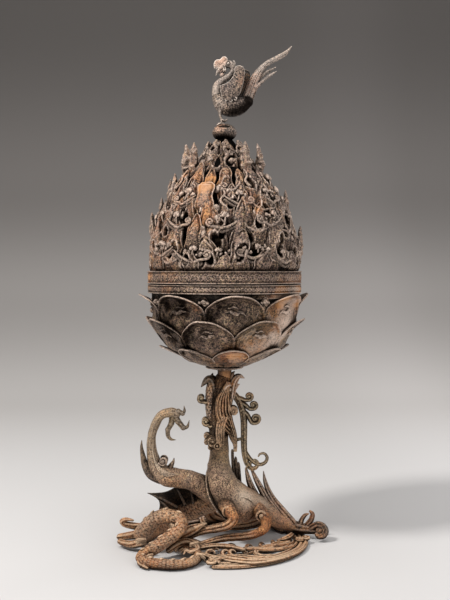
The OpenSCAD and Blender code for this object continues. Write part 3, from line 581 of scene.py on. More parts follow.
def hill(b, place, s0, h0, W, H, shape=0, lean=0.0, hook=0.0, out=0.0, t0=3.4, t1=2.0, bulge=4.0, nest=1.0, rough=1.0, nu=27, nv=34, rim=1.2, seed=0.0, wear_and_shading=0.0, sink=0.0, caves=0, shade=0.0):
    """One craggy summit: a domed plate with a rolled rim, a ridge that follows it, chased ground and caves inside."""
    x = np.linspace(0, 1, nv)
    v = 1 - (1 - x) ** 1.55
    a, g = SHAPES[shape]
    w = W * (1 - v) ** a * (1 + g * v) * (1 + 0.20 * np.sin(v * 9 + seed * 3) * (1 - v) * v * 3)
    w = np.maximum(w, 0.45)
    c = s0 + lean * v ** 1.6 + hook * np.sin(v * 4.6 + seed) * v
    u = np.sin(np.linspace(-math.pi / 2, math.pi / 2, nu))
    S = c[:, None] + u[None, :] * w[:, None]
    Hh = (h0 + v * H)[:, None] + 0 * u[None, :]
    line = evenly(np.concatenate([np.stack([c - w, h0 + v * H], -1), np.stack([c + w, h0 + v * H], -1)[::-1]]), 1.2)
    edge = edge_of(S, Hh, line)
    low = (out * (1 - sink + sink * sstep(-0.15, 0.45, v)))[:, None]
    th = (t0 + (t1 - t0) * v)[:, None] * (0.12 + 0.88 * sstep(0.0, 0.22, v))[:, None]
    swell = (1 - np.abs(u) ** 2.4)[None, :] * (np.sin(math.pi * np.clip(0.02 + 0.88 * v, 0, 1)) ** 0.8 * np.clip(w / W * 1.6, 0, 1))[:, None]
    base = place(S, Hh, low)
    cr = crags(base, 13.0, seed) - 0.60
    part = sstep(0.40, 0.62, vnoise(base, 12.0, seed + 5))
    rid = np.exp(-(edge / 0.9) ** 2) - 1.0 * np.exp(-((edge - 2.4) / 0.9) ** 2)
    if W > 11:   # broad summits have a second line inside the rim
        rid = rid + nest * (0.75 * np.exp(-((edge - 4.6) / 0.9) ** 2) - 0.8 * np.exp(-((edge - 6.8) / 0.9) ** 2))
    wob = edge + 3.0 * (vnoise(base, 9.0, seed + 2) - 0.5)
    lines = nest * np.sin(wob * TAU / 3.1) * sstep(4.6, 6.4, edge)
    gr = 1.3 * (vnoise(base, 2.6, seed) - 0.5) * sstep(0.6, 2.0, edge)
    cave, lip = 0 * S, 0 * S
    rg = np.random.default_rng(int(seed * 1000) + 3)
    for _ in range(caves):
        k = rg.uniform(0.22, 0.70)
        sx = np.interp(k, v, c) + rg.uniform(-0.6, 0.6) * np.interp(k, v, w)
        sy, sr, an = h0 + k * H, rg.uniform(2.6, 4.6), rg.uniform(-0.7, 0.7)
        dx, dy = S - sx, Hh - sy
        d2 = np.sqrt(((dx * math.cos(an) - dy * math.sin(an)) / sr) ** 2 + ((dx * math.sin(an) + dy * math.cos(an)) / (sr * 1.75)) ** 2)
        cave = np.maximum(cave, sstep(1.25, 0.75, d2))
        lip = np.maximum(lip, np.exp(-((d2 - 1.5) / 0.28) ** 2))
    back = low + 0.25 * bulge * swell
    top = low + th + bulge * swell + rim * (0.45 + 0.55 * part) * rid + 0.45 * lines + rough * 3.6 * cr * sstep(1.0, 5.0, edge) + gr + 1.3 * lip * (1 - cave)
    top = np.maximum(top - 9.0 * cave, back + 0.5)
    F = place(S, Hh, top)
    Bk = place(S, Hh, back)
    # painted light and shade: the rim edge and cave lips lighter, as wear and painted highlight; the groove inside the
    # rim, the clefts, the foot of the plate, the lower part on upper tiers, the caves and the back painted dark as
    # shade
    wv = wear_and_shading + 0.07 + (0.10 + 0.50 * part) * sstep(1.2, 0.2, edge) + 0.16 * np.clip(lines, 0, 1) + 0.30 * lip - (0.25 + 0.75 * part) * np.exp(-((edge - 2.4) / 0.8) ** 2) + 0.40 * np.clip(lines, -1, 0) - rough * 2.0 * np.clip(-cr - 0.08, 0, 0.5) * sstep(2, 5, edge)
    if W > 11:
        wv = wv + nest * part * (0.22 * np.exp(-((edge - 4.6) / 0.7) ** 2) - 0.7 * np.exp(-((edge - 6.8) / 0.7) ** 2))
    wv = wv * (0.35 + 0.65 * sstep(0.0, 0.2, v))[:, None] - 0.6 * (1 - sstep(0.0, 0.16, v))[:, None] - shade * sstep(0.50, 0.16, v)[:, None]
    wv = np.where(cave > 0.3, -1.0, wv)
    V, q, t = shell(F, Bk)
    b.add(V, q, t, np.concatenate([wv.ravel(), np.full(wv.size, -0.5)]))
    return v, c, w


def rock(b, c, r, seed, wear_and_shading=0.1, tall=1.0):
    V, q, t = ball((0, 0, 0), 1.0, 10)
    n = V + 0.0
    k = 1 + 0.75 * (vnoise(V * 10 + 50 * seed, 6.5) - 0.5) + 0.25 * (vnoise(V * 10 + 50 * seed, 2.6) - 0.5)
    V = n * k[:, None] * np.array([r, r, r * tall]) + np.asarray(c, float)
    b.add(V, q, t, wear_and_shading + 1.6 * np.clip(k - 1.05, 0, 0.3) - 1.8 * np.clip(0.95 - k, 0, 0.4))


def tree(b, place, s, h, lift, size, seed):
    """A small tree: a bent trunk under a clump of pointed leaves."""
    rg = np.random.default_rng(int(seed * 97) + 5)
    bend = rg.uniform(-0.25, 0.25) * size
    top = place(s + bend, h + size * 0.62, lift)
    p0, p1 = place(s, h, lift - 1.5), place(s + 0.7 * bend, h + size * 0.35, lift + 0.4)
    b.put(tube([[*p0, 1.3], [*p1, 1.05], [*top, 0.8]], 5, 8), 0.2)
    for k in range(6):
        an = math.radians(-75 + 30 * k + rg.uniform(-8, 8))
        ln = size * rg.uniform(0.30, 0.42)
        q0 = place(s + bend, h + size * 0.55, lift + 0.2)
        q1 = place(s + bend + 0.6 * ln * math.sin(an), h + size * 0.55 + 0.6 * ln * math.cos(an), lift + 0.8)
        q2 = place(s + bend + ln * math.sin(an), h + size * 0.55 + 1.1 * ln * math.cos(an), lift + 0.5)
        b.put(tube([[*q0, 0.9], [*q1, 0.20 * size * 0.8], [*q2, 0.3]], 4, 8, step=0.7), 0.10)


def volute(b, place, cx, cy, R, hand, lift, r0=1.0, r1=0.55, a0=None, tail=None, turns=1.35, wear_and_shading=0.3):
    """A spiral bar, with an optional tail that runs into it."""
    a0 = -math.pi / 2 if a0 is None else a0
    sp = spiral(0, 0, R, R * 0.24, a0 if hand > 0 else math.pi - a0, turns * hand, 30)
    sp = sp + [cx, cy]
    n = 0
    if tail is not None:
        P = smooth2(np.concatenate([np.asarray(tail, float), sp[:2]]), 6)
        n = len(P)
        sp = np.concatenate([P[:-4], sp[1:]])
    m = len(sp)
    r = np.linspace(r0, r1, m)
    if tail is not None:
        r = r * (0.45 + 0.55 * sstep(0, 0.18, np.linspace(0, 1, m)))
    D = place(sp[:, 0], sp[:, 1], lift)
    b.put(tube(evenly(np.concatenate([D, r[:, None]], 1), 0.9), 1, 8), wear_and_shading)
    b.put(ball(place(cx, cy, lift - 0.1), r1 * 1.5, 8), wear_and_shading)


def spire(b, az, pts, seed, sides=14):
    """A free-standing pinnacle through [tangent offset, radius, height, thickness]."""
    a = math.radians(az)
    ca, sa = math.cos(a), math.sin(a)
    P = [[r * ca - s * sa, r * sa + s * ca, LID_Z + h, t] for s, r, h, t in pts]
    V, q, t = tube(P, 10, sides, fn=lobes(4, 0.16, 0.05, seed), step=0.8)[:3]
    n = vnoise(V, 3.4, seed) - 0.5
    cen = np.stack([np.interp(V[:, 2], [p[2] for p in P], [p[i] for p in P]) for i in (0, 1)], -1)
    V[:, :2] += (V[:, :2] - cen) * (0.7 * n)[:, None]
    b.add(V, q, t, 0.16)


def peaks(h0, hs, h1, flare, seed, foot, hills):
    """A ring of hills, each [azimuth, half width, height of its tip, shape, lean, how far it stands out]."""
    rg = np.random.default_rng(seed)
    b = Build()
    drop = 0.0 if foot else 15.0
    thin = 0.60 if foot else 0.85
    U = rg.uniform
    hb = h0 - 0.5 - drop
    lf = 4.6 if foot else 6.4
    for k, (az, W, top, shape, lean, out) in enumerate(hills):
        sa = abs(math.sin(math.radians(az)))
        fl = flare * (0.20 + 0.80 * sa ** 1.5)
        flat = 0.45 + 0.55 * float(sstep(0.15, 0.62, sa))
        pl = Place(az, lambda h, fl=fl: tier_r(h, h0, hs, h1, fl), LID_Z)
        big = W > 11.5
        H = top - h0
        side = 1 if lean >= 0 else -1
        hill(b, pl, 0, hb, W, H + drop, shape, 1.5 * lean, U(-0.16, 0.16) * W, out * flat, t0=3.4 * flat, t1=2.0 * flat, bulge=(0.22 * W + 1.8) * thin * flat, nest=U(0.7, 1.0), rough=U(0.6, 1.1), seed=U(0, 9),
             sink=1.0 if foot else 0.5, nu=(37 if foot else 41) if big else 27, nv=(45 if foot else 52) if big else 38, caves=2 if W > 14 else (1 if big else 0), shade=0.0 if foot else 0.45, rim=1.1)
        if not big:
            continue
        # boulders in the clefts
        for j in range(3):
            x = (1 if j % 2 else -1) * U(0.75, 1.05) * W
            hh = h0 + H * U(0.04, 0.36) + (6.0 if foot else 0.0)
            rock(b, pl(x, hh, (1.2 if foot else 2.6) * flat * U(0.6, 1.4) + 0.06 * max(hh - h0, 0)), U(2.6, 4.6), U(0, 9), 0.0, U(0.8, 1.5))
        # a thick ridge that dips and sweeps up into a cloud curl
        if k % 3 == 0:
            R = U(4.2, 5.4)
            y = h0 + H * U(0.14, 0.26)
            x0, x1 = -side * W * U(0.85, 1.05), side * W * U(0.35, 0.6)
            tail = [[x0, y + U(9, 13)], [x0 + side * W * 0.35, y + 1.5], [x0 + side * W * 0.80, y - 2.6], [x1 - side * R * 1.4, y - 0.2 * R]]
            volute(b, pl, x1, y + R, R, side, (lf + 0.2) * flat, U(1.8, 2.2), 1.0, tail=tail, wear_and_shading=-0.02)
            # a bar under the ridge, painted dark as its shadow
            wire(b, pl, smooth2(np.array(tail) - [0, 4.0], 6), 2.2, 1.4, lift=(lf - 1.6) * flat, wear_and_shading=-0.8)
        if k % 3 == 1:
            P = smooth2([[-side * W * 0.15, h0 + H * 0.30], [-side * W * 0.48, h0 + H * 0.46], [-side * W * 0.16, h0 + H * 0.64], [-side * W * 0.30, h0 + H * 0.80]], 8)
            wire(b, pl, P, 1.9, 0.9, lift=(lf - 0.1) * flat, wear_and_shading=-0.02)
        if k % 4 == 2:
            tree(b, pl, -side * W * U(0.40, 0.80), h0 + H * U(0.36, 0.52), 4.8, U(12, 16), U(0, 9))
    return b


def sweeps(b, h0, hs, h1, flare, lift, rows, seed):
    """Long ridges across the hills that dip and rise into a cloud curl, each [azimuth, height, half span, curl, hand]."""
    rg = np.random.default_rng(seed)
    U = rg.uniform
    for az, y, W, R, side in rows:
        sa = abs(math.sin(math.radians(az)))
        fl = flare * (0.20 + 0.80 * sa ** 1.5)
        flat = 0.45 + 0.55 * float(sstep(0.15, 0.62, sa))
        pl = Place(az, lambda h, fl=fl: tier_r(h, h0, hs, h1, fl), LID_Z)
        x0, x1 = -side * W, side * W * 0.62
        tail = [[x0, y + 0.42 * W], [x0 + side * W * 0.40, y + 2.0], [x0 + side * W * 0.95, y - 3.0], [x1 - side * R * 1.4, y - 0.2 * R]]
        volute(b, pl, x1, y + R, R, side, lift * flat, 2.1, 1.0, tail=tail, wear_and_shading=-0.03)
        # a bar under the ridge, painted dark as its shadow
        wire(b, pl, smooth2(np.array(tail) - [0, 4.2], 6), 2.4, 1.5, lift=(lift - 1.2) * flat, wear_and_shading=-0.7)
        for j in range(7):
            x = x0 + side * W * U(0.1, 1.5)
            rock(b, pl(x, y + U(3.0, 12.0), (lift - 0.6) * flat), U(1.5, 2.9), U(0, 9), U(-0.25, 0.12), U(0.8, 1.4))
        tree(b, pl, side * W * U(-0.5, 0.0), y + U(2.0, 5.0), lift * flat + 0.4, U(11, 14), U(0, 9))


def back_of(rows, turn, n, W, top, seed):
    """Hills for the far side of a ring, from turn onwards, alternately broad and low."""
    rg = np.random.default_rng(seed)
    U = rg.uniform
    for k in range(n):
        az = turn + (180.0 - 0.0) * (k + 0.5) / n
        rows.append((az, W * U(0.9, 1.1), top * U(0.93, 1.03), (0, 1, 3)[k % 3], U(-0.25, 0.25) * W, 0.4))
        rows.append((az + 90.0 / n, W * U(0.50, 0.62), top - U(14, 26), (2, 0)[k % 2], U(-0.2, 0.2) * W, 2.6))
    return rows


T1 = back_of([(-47, 25, 63, 1, -6, 0.4), (-79, 14.5, 48, 2, 1.5, 2.2), (-101, 17, 41, 0, -4, 0.4), (-133, 18, 53, 0, 5, 0.4), (-157, 16, 55, 1, -3, 0.4), (-115, 12, 25, 2, 0, 3.4), (-145, 11, 27, 0, 3, 3.4),
              (-63, 11.2, 26, 3, 3, 3.4), (-23, 15, 38, 0, 3, 0.4), (-33, 10, 23, 2, 0, 3.4), (-91, 9.5, 19, 3, 2, 3.6), (-6, 9, 22, 0, 0, 2.0), (-172, 10, 34, 0, 0, 2.0)], 4, 5, 22, 58, 31)
b = peaks(0, 24, 62, 9, 11, True, T1 + [(-3, 13, 44, 0, 2, 0.4)])
for az, r, h in ((1, 93.6, 55), (-8, 90.5, 40), (180, 89.2, 72), (-171, 88, 56), (-150, 90, 60), (40, 92, 58), (140, 90, 62)):
    spire(b, az, [[0, r - 3, h - 40, 5.0], [0.8, r - 1, h - 25, 4.8], [-0.6, r, h - 12, 3.4], [0.6, r + 0.5, h - 4, 2.0], [0, r + 0.5, h, 0.6]], az)
sweeps(b, 0, 24, 62, 9, 6.4, ((-112, 13, 24, 5.0, 1), (-70, 17, 22, 4.4, -1), (-141, 20, 18, 4.0, -1), (-42, 12, 18, 4.2, 1), (100, 14, 24, 5.0, 1), (60, 16, 22, 4.4, -1)), 41)
b.obj("peaks_tier_1_hills", BROWN, "lid", ("peaks_tier_1",), "patina_brown")
T2 = back_of([(-66, 18, 79, 0, 6, 0.4), (-95, 16, 73, 1, -4, 0.4), (-141, 16, 79, 0, 4, 0.4), (-37, 15, 80, 1, -3, 0.4), (-113, 11, 65, 2, 1, 3.0), (-81, 9.0, 84, 3, 6, 3.4), (-163, 13, 82, 1, 2, 0.4),
              (-127, 10, 61, 0, -2, 2.6), (-52, 10, 63, 2, 0, 3.0), (-16, 12, 74, 0, 3, 0.4), (-176, 9, 62, 0, 0, 1.6)], 8, 5, 20, 82, 32)
b = peaks(36, 48, 86, 7, 12, False, T2 + [(3, 13, 76, 1, 2, 0.4)])
for az, r, h in ((-2, 75.4, 99), (-16, 72, 86), (177, 78, 90), (60, 78, 92), (118, 78, 94), (-160, 76, 86)):
    spire(b, az, [[0, r - 1, h - 38, 6.2], [-0.8, r, h - 23, 5.4], [0.5, r, h - 10, 3.2], [0, r, h, 0.7]], az)
sweeps(b, 36, 48, 86, 7, 7.6, ((-92, 50, 20, 4.4, -1), (-54, 54, 19, 4.2, -1), (-126, 52, 18, 4.0, 1), (80, 52, 20, 4.4, 1)), 42)
b.obj("peaks_tier_2_hills", BROWN, "lid", ("peaks_tier_2",), "patina_brown")
T3 = back_of([(-54, 17, 110, 1, 5, 0.4), (-88, 14, 101, 0, 4, 0.4), (-118, 12.5, 103, 0, -3, 0.4), (-144, 13, 105, 1, 3, 0.4), (-72, 9.5, 92, 2, 0, 3.0), (-103, 9, 88, 3, -2, 3.0), (-24, 12, 98, 0, -3, 0.4),
              (-132, 8, 88, 2, 0, 2.6), (-168, 11, 102, 0, 2, 0.4), (-38, 8, 88, 0, 2, 2.6)], 6, 4, 19, 106, 33)
b = peaks(60, 72, 110, 7, 13, False, T3 + [(-1, 13, 100, 0, -2, 0.4)])
for az, r, h in ((183, 66.2, 112), (-166, 62, 118), (90, 62, 112), (-128, 62, 106)):
    spire(b, az, [[0, r - 2, h - 34, 6.0], [0.8, r, h - 20, 5.0], [-0.6, r, h - 9, 3.2], [0, r, h, 0.7]], az)
sweeps(b, 60, 72, 110, 7, 7.4, ((-76, 76, 17, 3.8, 1), (-128, 78, 15, 3.6, -1), (-44, 80, 14, 3.4, 1), (100, 78, 17, 3.8, -1)), 43)
b.obj("peaks_tier_3_hills", BROWN, "lid", ("peaks_tier_3",), "patina_brown")
T4 = back_of([(-86, 12.5, 119, 0, -3, 0.4), (-62, 12.0, 124, 1, 3, 0.4), (-34, 11.8, 122, 0, -2, 0.4), (-128, 12, 125, 1, 3, 0.4), (-152, 11.6, 126, 0, -2, 0.4), (-74, 8, 109, 2, 0, 2.6), (-10, 10, 118, 0, 0, 0.4),
              (-140, 7.5, 108, 0, 1, 2.6), (-48, 7.5, 108, 2, 0, 2.6), (-172, 9, 122, 0, 0, 0.4)], 6, 4, 16, 126, 34)
b = peaks(84, 96, 132, 8, 14, False, T4 + [(7, 9, 116, 1, 0, 0.4)])
hill(b, Place(-107, lambda h: tier_r(h, 84, 96, 132, 12), LID_Z), 0, 66, 10.4, 34, 4, 0, 0, 6.8, t0=3.4, t1=3.0, bulge=1.2, nest=0, rough=0.06, rim=0.3, nu=25, nv=40, seed=2.2, sink=0.9, wear_and_shading=0.1)
b.obj("peaks_tier_4_hills", BROWN, "lid", ("peaks_tier_4",), "patina_brown")
T5 = back_of([(-90, 10, 125, 0, 2, 0.4), (-56, 10, 132, 1, 2, 0.4), (-24, 9, 128, 0, 0, 0.4), (-124, 10, 130, 0, -2, 0.4), (-156, 9, 130, 1, 0, 0.4), (-72, 7, 118, 2, 0, 2.4), (-106, 7, 120, 2, 0, 2.4), (-40, 6, 118, 2, 0, 2.4)], 6, 3, 14, 132, 35)
b = peaks(108, 120, 152, 20, 15, False, T5 + [(3, 9, 126, 0, 0, 0.4)])
for az, r, pts in ((180, 46.7, ((0, 0, -38, 6.4), (1.0, 0, -22, 6.2), (0.4, 0, -11, 4.0), (-0.6, 0.4, -4, 3.2), (-0.4, 0.6, 0, 1.8))),
                   (213, 44, ((0, 0, -38, 6.4), (-1.0, 0, -22, 5.6), (0.6, 0, -10, 4.4), (0, 0, -4, 2.6), (0.4, 0, 0, 0.9))),
                   (-53, 41.5, ((0, 0, -40, 7.5), (0.6, 0, -26, 7.2), (-0.6, 0, -13, 5.6), (0, 0, -6, 3.4), (0, 0, 0, 0.9))),
                   (-16, 44, ((0, -1, -40, 6.8), (2.4, 0, -26, 5.8), (-1.2, 1, -14, 4.0), (-3.4, 0, -6, 2.6), (-2.0, -2, 0, 0.9))),
                   (60, 42, ((0, 0, -34, 6), (1, 0, -20, 5), (0, 0, -8, 3), (0, 0, -2, 0.8))), (120, 42, ((0, 0, -34, 6), (-1, 0, -20, 5), (0, 0, -8, 3), (0, 0, 2, 0.8)))):
    spire(b, az, [[s, r + dr, 154.0 + h, t] for s, dr, h, t in pts], az)
b.obj("peaks_tier_5_hills", BROWN, "lid", ("peaks_tier_5",), "patina_brown")


def crown():
    b = Build()
    rg = np.random.default_rng(41)
    U = rg.uniform
    pl0 = lambda h: np.interp(h, [118, 126, 134, 142, 150, 156, 160, 166], [44, 36, 27.5, 22.0, 18.2, 15.6, 14.0, 14.0])
    for k in range(8):
        az = -84 + 45.0 * k + U(-5, 5)
        pl = Place(az, pl0, LID_Z)
        sd = 1 if k % 2 else -1
        hill(b, pl, U(-2, 2), 122, U(11.5, 13.0), U(30, 36), (0, 2, 3)[k % 3], sd * U(1, 4), 0, U(0.4, 1.6), t0=2.4, t1=1.8, bulge=2.4, nest=0.9, rough=0.8, nu=27, nv=36, seed=U(0, 9), caves=2)
        P = [pl(sd * x, h, 4.4) for x, h in ((5.4, 130), (1.0, 138), (4.6, 146), (0.4, 151), (1.8, 156))]
        b.put(tube([[*p, r] for p, r in zip(P, (2.4, 2.2, 2.1, 2.0, 1.8))], 7, 10, step=0.8), 0.08)
        volute(b, pl, sd * 3.6, 151.5, 3.4, -sd, 3.8, 1.8, 1.0, tail=[[-sd * 4.4, 144], [-sd * 1.4, 149.5]], wear_and_shading=0.16)
        volute(b, pl, -sd * 4.2, 141.0, 3.9, sd, 4.2, 2.0, 1.1, tail=[[sd * 4.5, 131], [sd * 0.5, 136]], wear_and_shading=0.12)
        for _ in range(2):
            rock(b, pl(U(-6, 6), U(126, 132), 4.0), U(2.8, 4.2), U(0, 9), 0.0)
        pm = Place(az + 22.5, pl0, LID_Z)
        hill(b, pm, U(-1, 1), 116, U(9.5, 11.0), U(27, 33), (0, 1, 3)[k % 3], -sd * U(0, 3), 0, 0.2, t0=2.4, t1=1.6, bulge=2.2, nest=0.9, rough=0.9, nu=25, nv=34, seed=U(0, 9), caves=1, wear_and_shading=-0.12)
    b.obj("summit_crown_curls", BROWN, "lid", ("summit_crown",), "patina_brown")


crown()


# ------------------------------------------------------------------ bands with a running scroll
def band(name, node, z0, z1, lip, mat, slot, body, reps, edge):
    H = z1 - z0
    p = TAU * (SEAM_R + 2.0) / reps
    nx, nz = 18, 24
    x = np.arange(nx) / nx * p
    zz = np.linspace(0, H, nz)
    # distance to a winding stem with two spirals in each repeat
    a = np.linspace(-0.2, 1.2, 60) * p
    mid, amp = H / 2, H / 2 - edge - 1.2
    stem = np.stack([a, mid + amp * 0.62 * np.sin(a / p * TAU)], -1)
    s1 = spiral(p * 0.25, mid - amp * 0.22, amp * 0.66, 0.5, math.pi * 0.9, 1.4, 40)
    s2 = spiral(p * 0.75, mid + amp * 0.22, amp * 0.66, 0.5, -math.pi * 0.1, 1.4, 40)
    X, Z = np.meshgrid(x, zz)
    hgt = np.zeros_like(X)
    for C, r in ((stem, 0.6), (s1, 0.5), (s2, 0.5)):
        d = np.full(X.shape, 1e9)
        for off in (-p, 0, p):
            dd = np.sqrt((X[..., None] - C[:, 0] - off) ** 2 + (Z[..., None] - C[:, 1]) ** 2).min(-1)
            d = np.minimum(d, dd)
        hgt = np.maximum(hgt, np.clip(1 - (d / (r * 1.5)) ** 2, 0, 1))
    hgt = hgt * sstep(edge + 0.4, edge + 1.2, zz)[:, None] * sstep(H - edge - 0.4, H - edge - 1.2, zz)[:, None]
    lipz = np.maximum(sstep(edge + 0.4, edge - 0.3, zz), sstep(H - edge - 0.4, H - edge + 0.3, zz))
    lipz = lipz * np.minimum(sstep(-0.1, 0.5, zz), sstep(H + 0.1, H - 0.5, zz))
    na = nx * reps
    th = np.arange(na) / na * TAU
    relief = np.tile(hgt, (1, reps)) * 0.75 + lipz[:, None] * lip
    R = SEAM_R + 4.2 + relief
    F = np.stack([R * np.cos(th), R * np.sin(th), (z0 + zz)[:, None] + 0 * R], -1)
    R = R + 0.5 * (vnoise(F, 2.0, 3.0) - 0.5) + 0.5 * (vnoise(F, 7.0, 5.0) - 0.5)
    F = np.stack([R * np.cos(th), R * np.sin(th), (z0 + zz)[:, None] + 0 * R], -1)
    Bk = np.stack([np.full_like(R, SEAM_R) * np.cos(th), np.full_like(R, SEAM_R) * np.sin(th), (z0 + zz)[:, None] + 0 * R], -1)
    nv = nz
    V = np.concatenate([F.reshape(-1, 3), Bk.reshape(-1, 3)])
    o = nv * na
    j, i = np.arange(nv - 1)[:, None], np.arange(na)[None, :]
    i2 = (i + 1) % na
    A = np.stack([j * na + i, j * na + i2, (j + 1) * na + i2, (j + 1) * na + i], -1).reshape(-1, 4)
    q = [A, A[:, ::-1] + o]
    k = np.arange(na)
    k2 = (k + 1) % na
    q.append(np.stack([k, k + o, k2 + o, k2], -1))
    top = (nv - 1) * na
    q.append(np.stack([top + k, top + k2, top + k2 + o, top + k + o], -1))
    b = Build()
    wv = np.clip(-0.45 + 0.75 * np.tile(hgt, (1, reps)) + 0.85 * lipz[:, None], -1, 1)
    b.add(V, np.concatenate(q), None, np.concatenate([wv.ravel(), np.zeros(wv.size)]))
    b.obj(name, mat, body, (node,), slot, sharp=60)


band("lid_band_scroll", "lid_band", 324.5, 339.8, 1.5, BROWN, "patina_brown", "lid", 60, 1.3)
band("bowl_band_scroll", "bowl_band", 313.0, 323.5, 1.1, BROWN, "patina_brown", "stand", 66, 1.1)


# ------------------------------------------------------------------ bowl petals
def petal_r(d, d0, ds, d1, flare):
    """Radius of the back of a petal at depth d under the seam."""
    d = np.asarray(d, float)
    f = np.clip((ds - d) / (ds - d1), 0, 1.15)
    tip = cup_r(ds) + flare
    end = cup_r(d1)
    return cup_r(np.clip(d, 0, 103)) + (tip - end) * f ** 1.9 + 0.8 * np.sin(math.pi * np.clip(f, 0, 1))


LOW = np.array([[0, 0.34], [0.10, 0.56], [0.20, 0.76], [0.30, 0.91], [0.40, 0.99], [0.50, 1]])


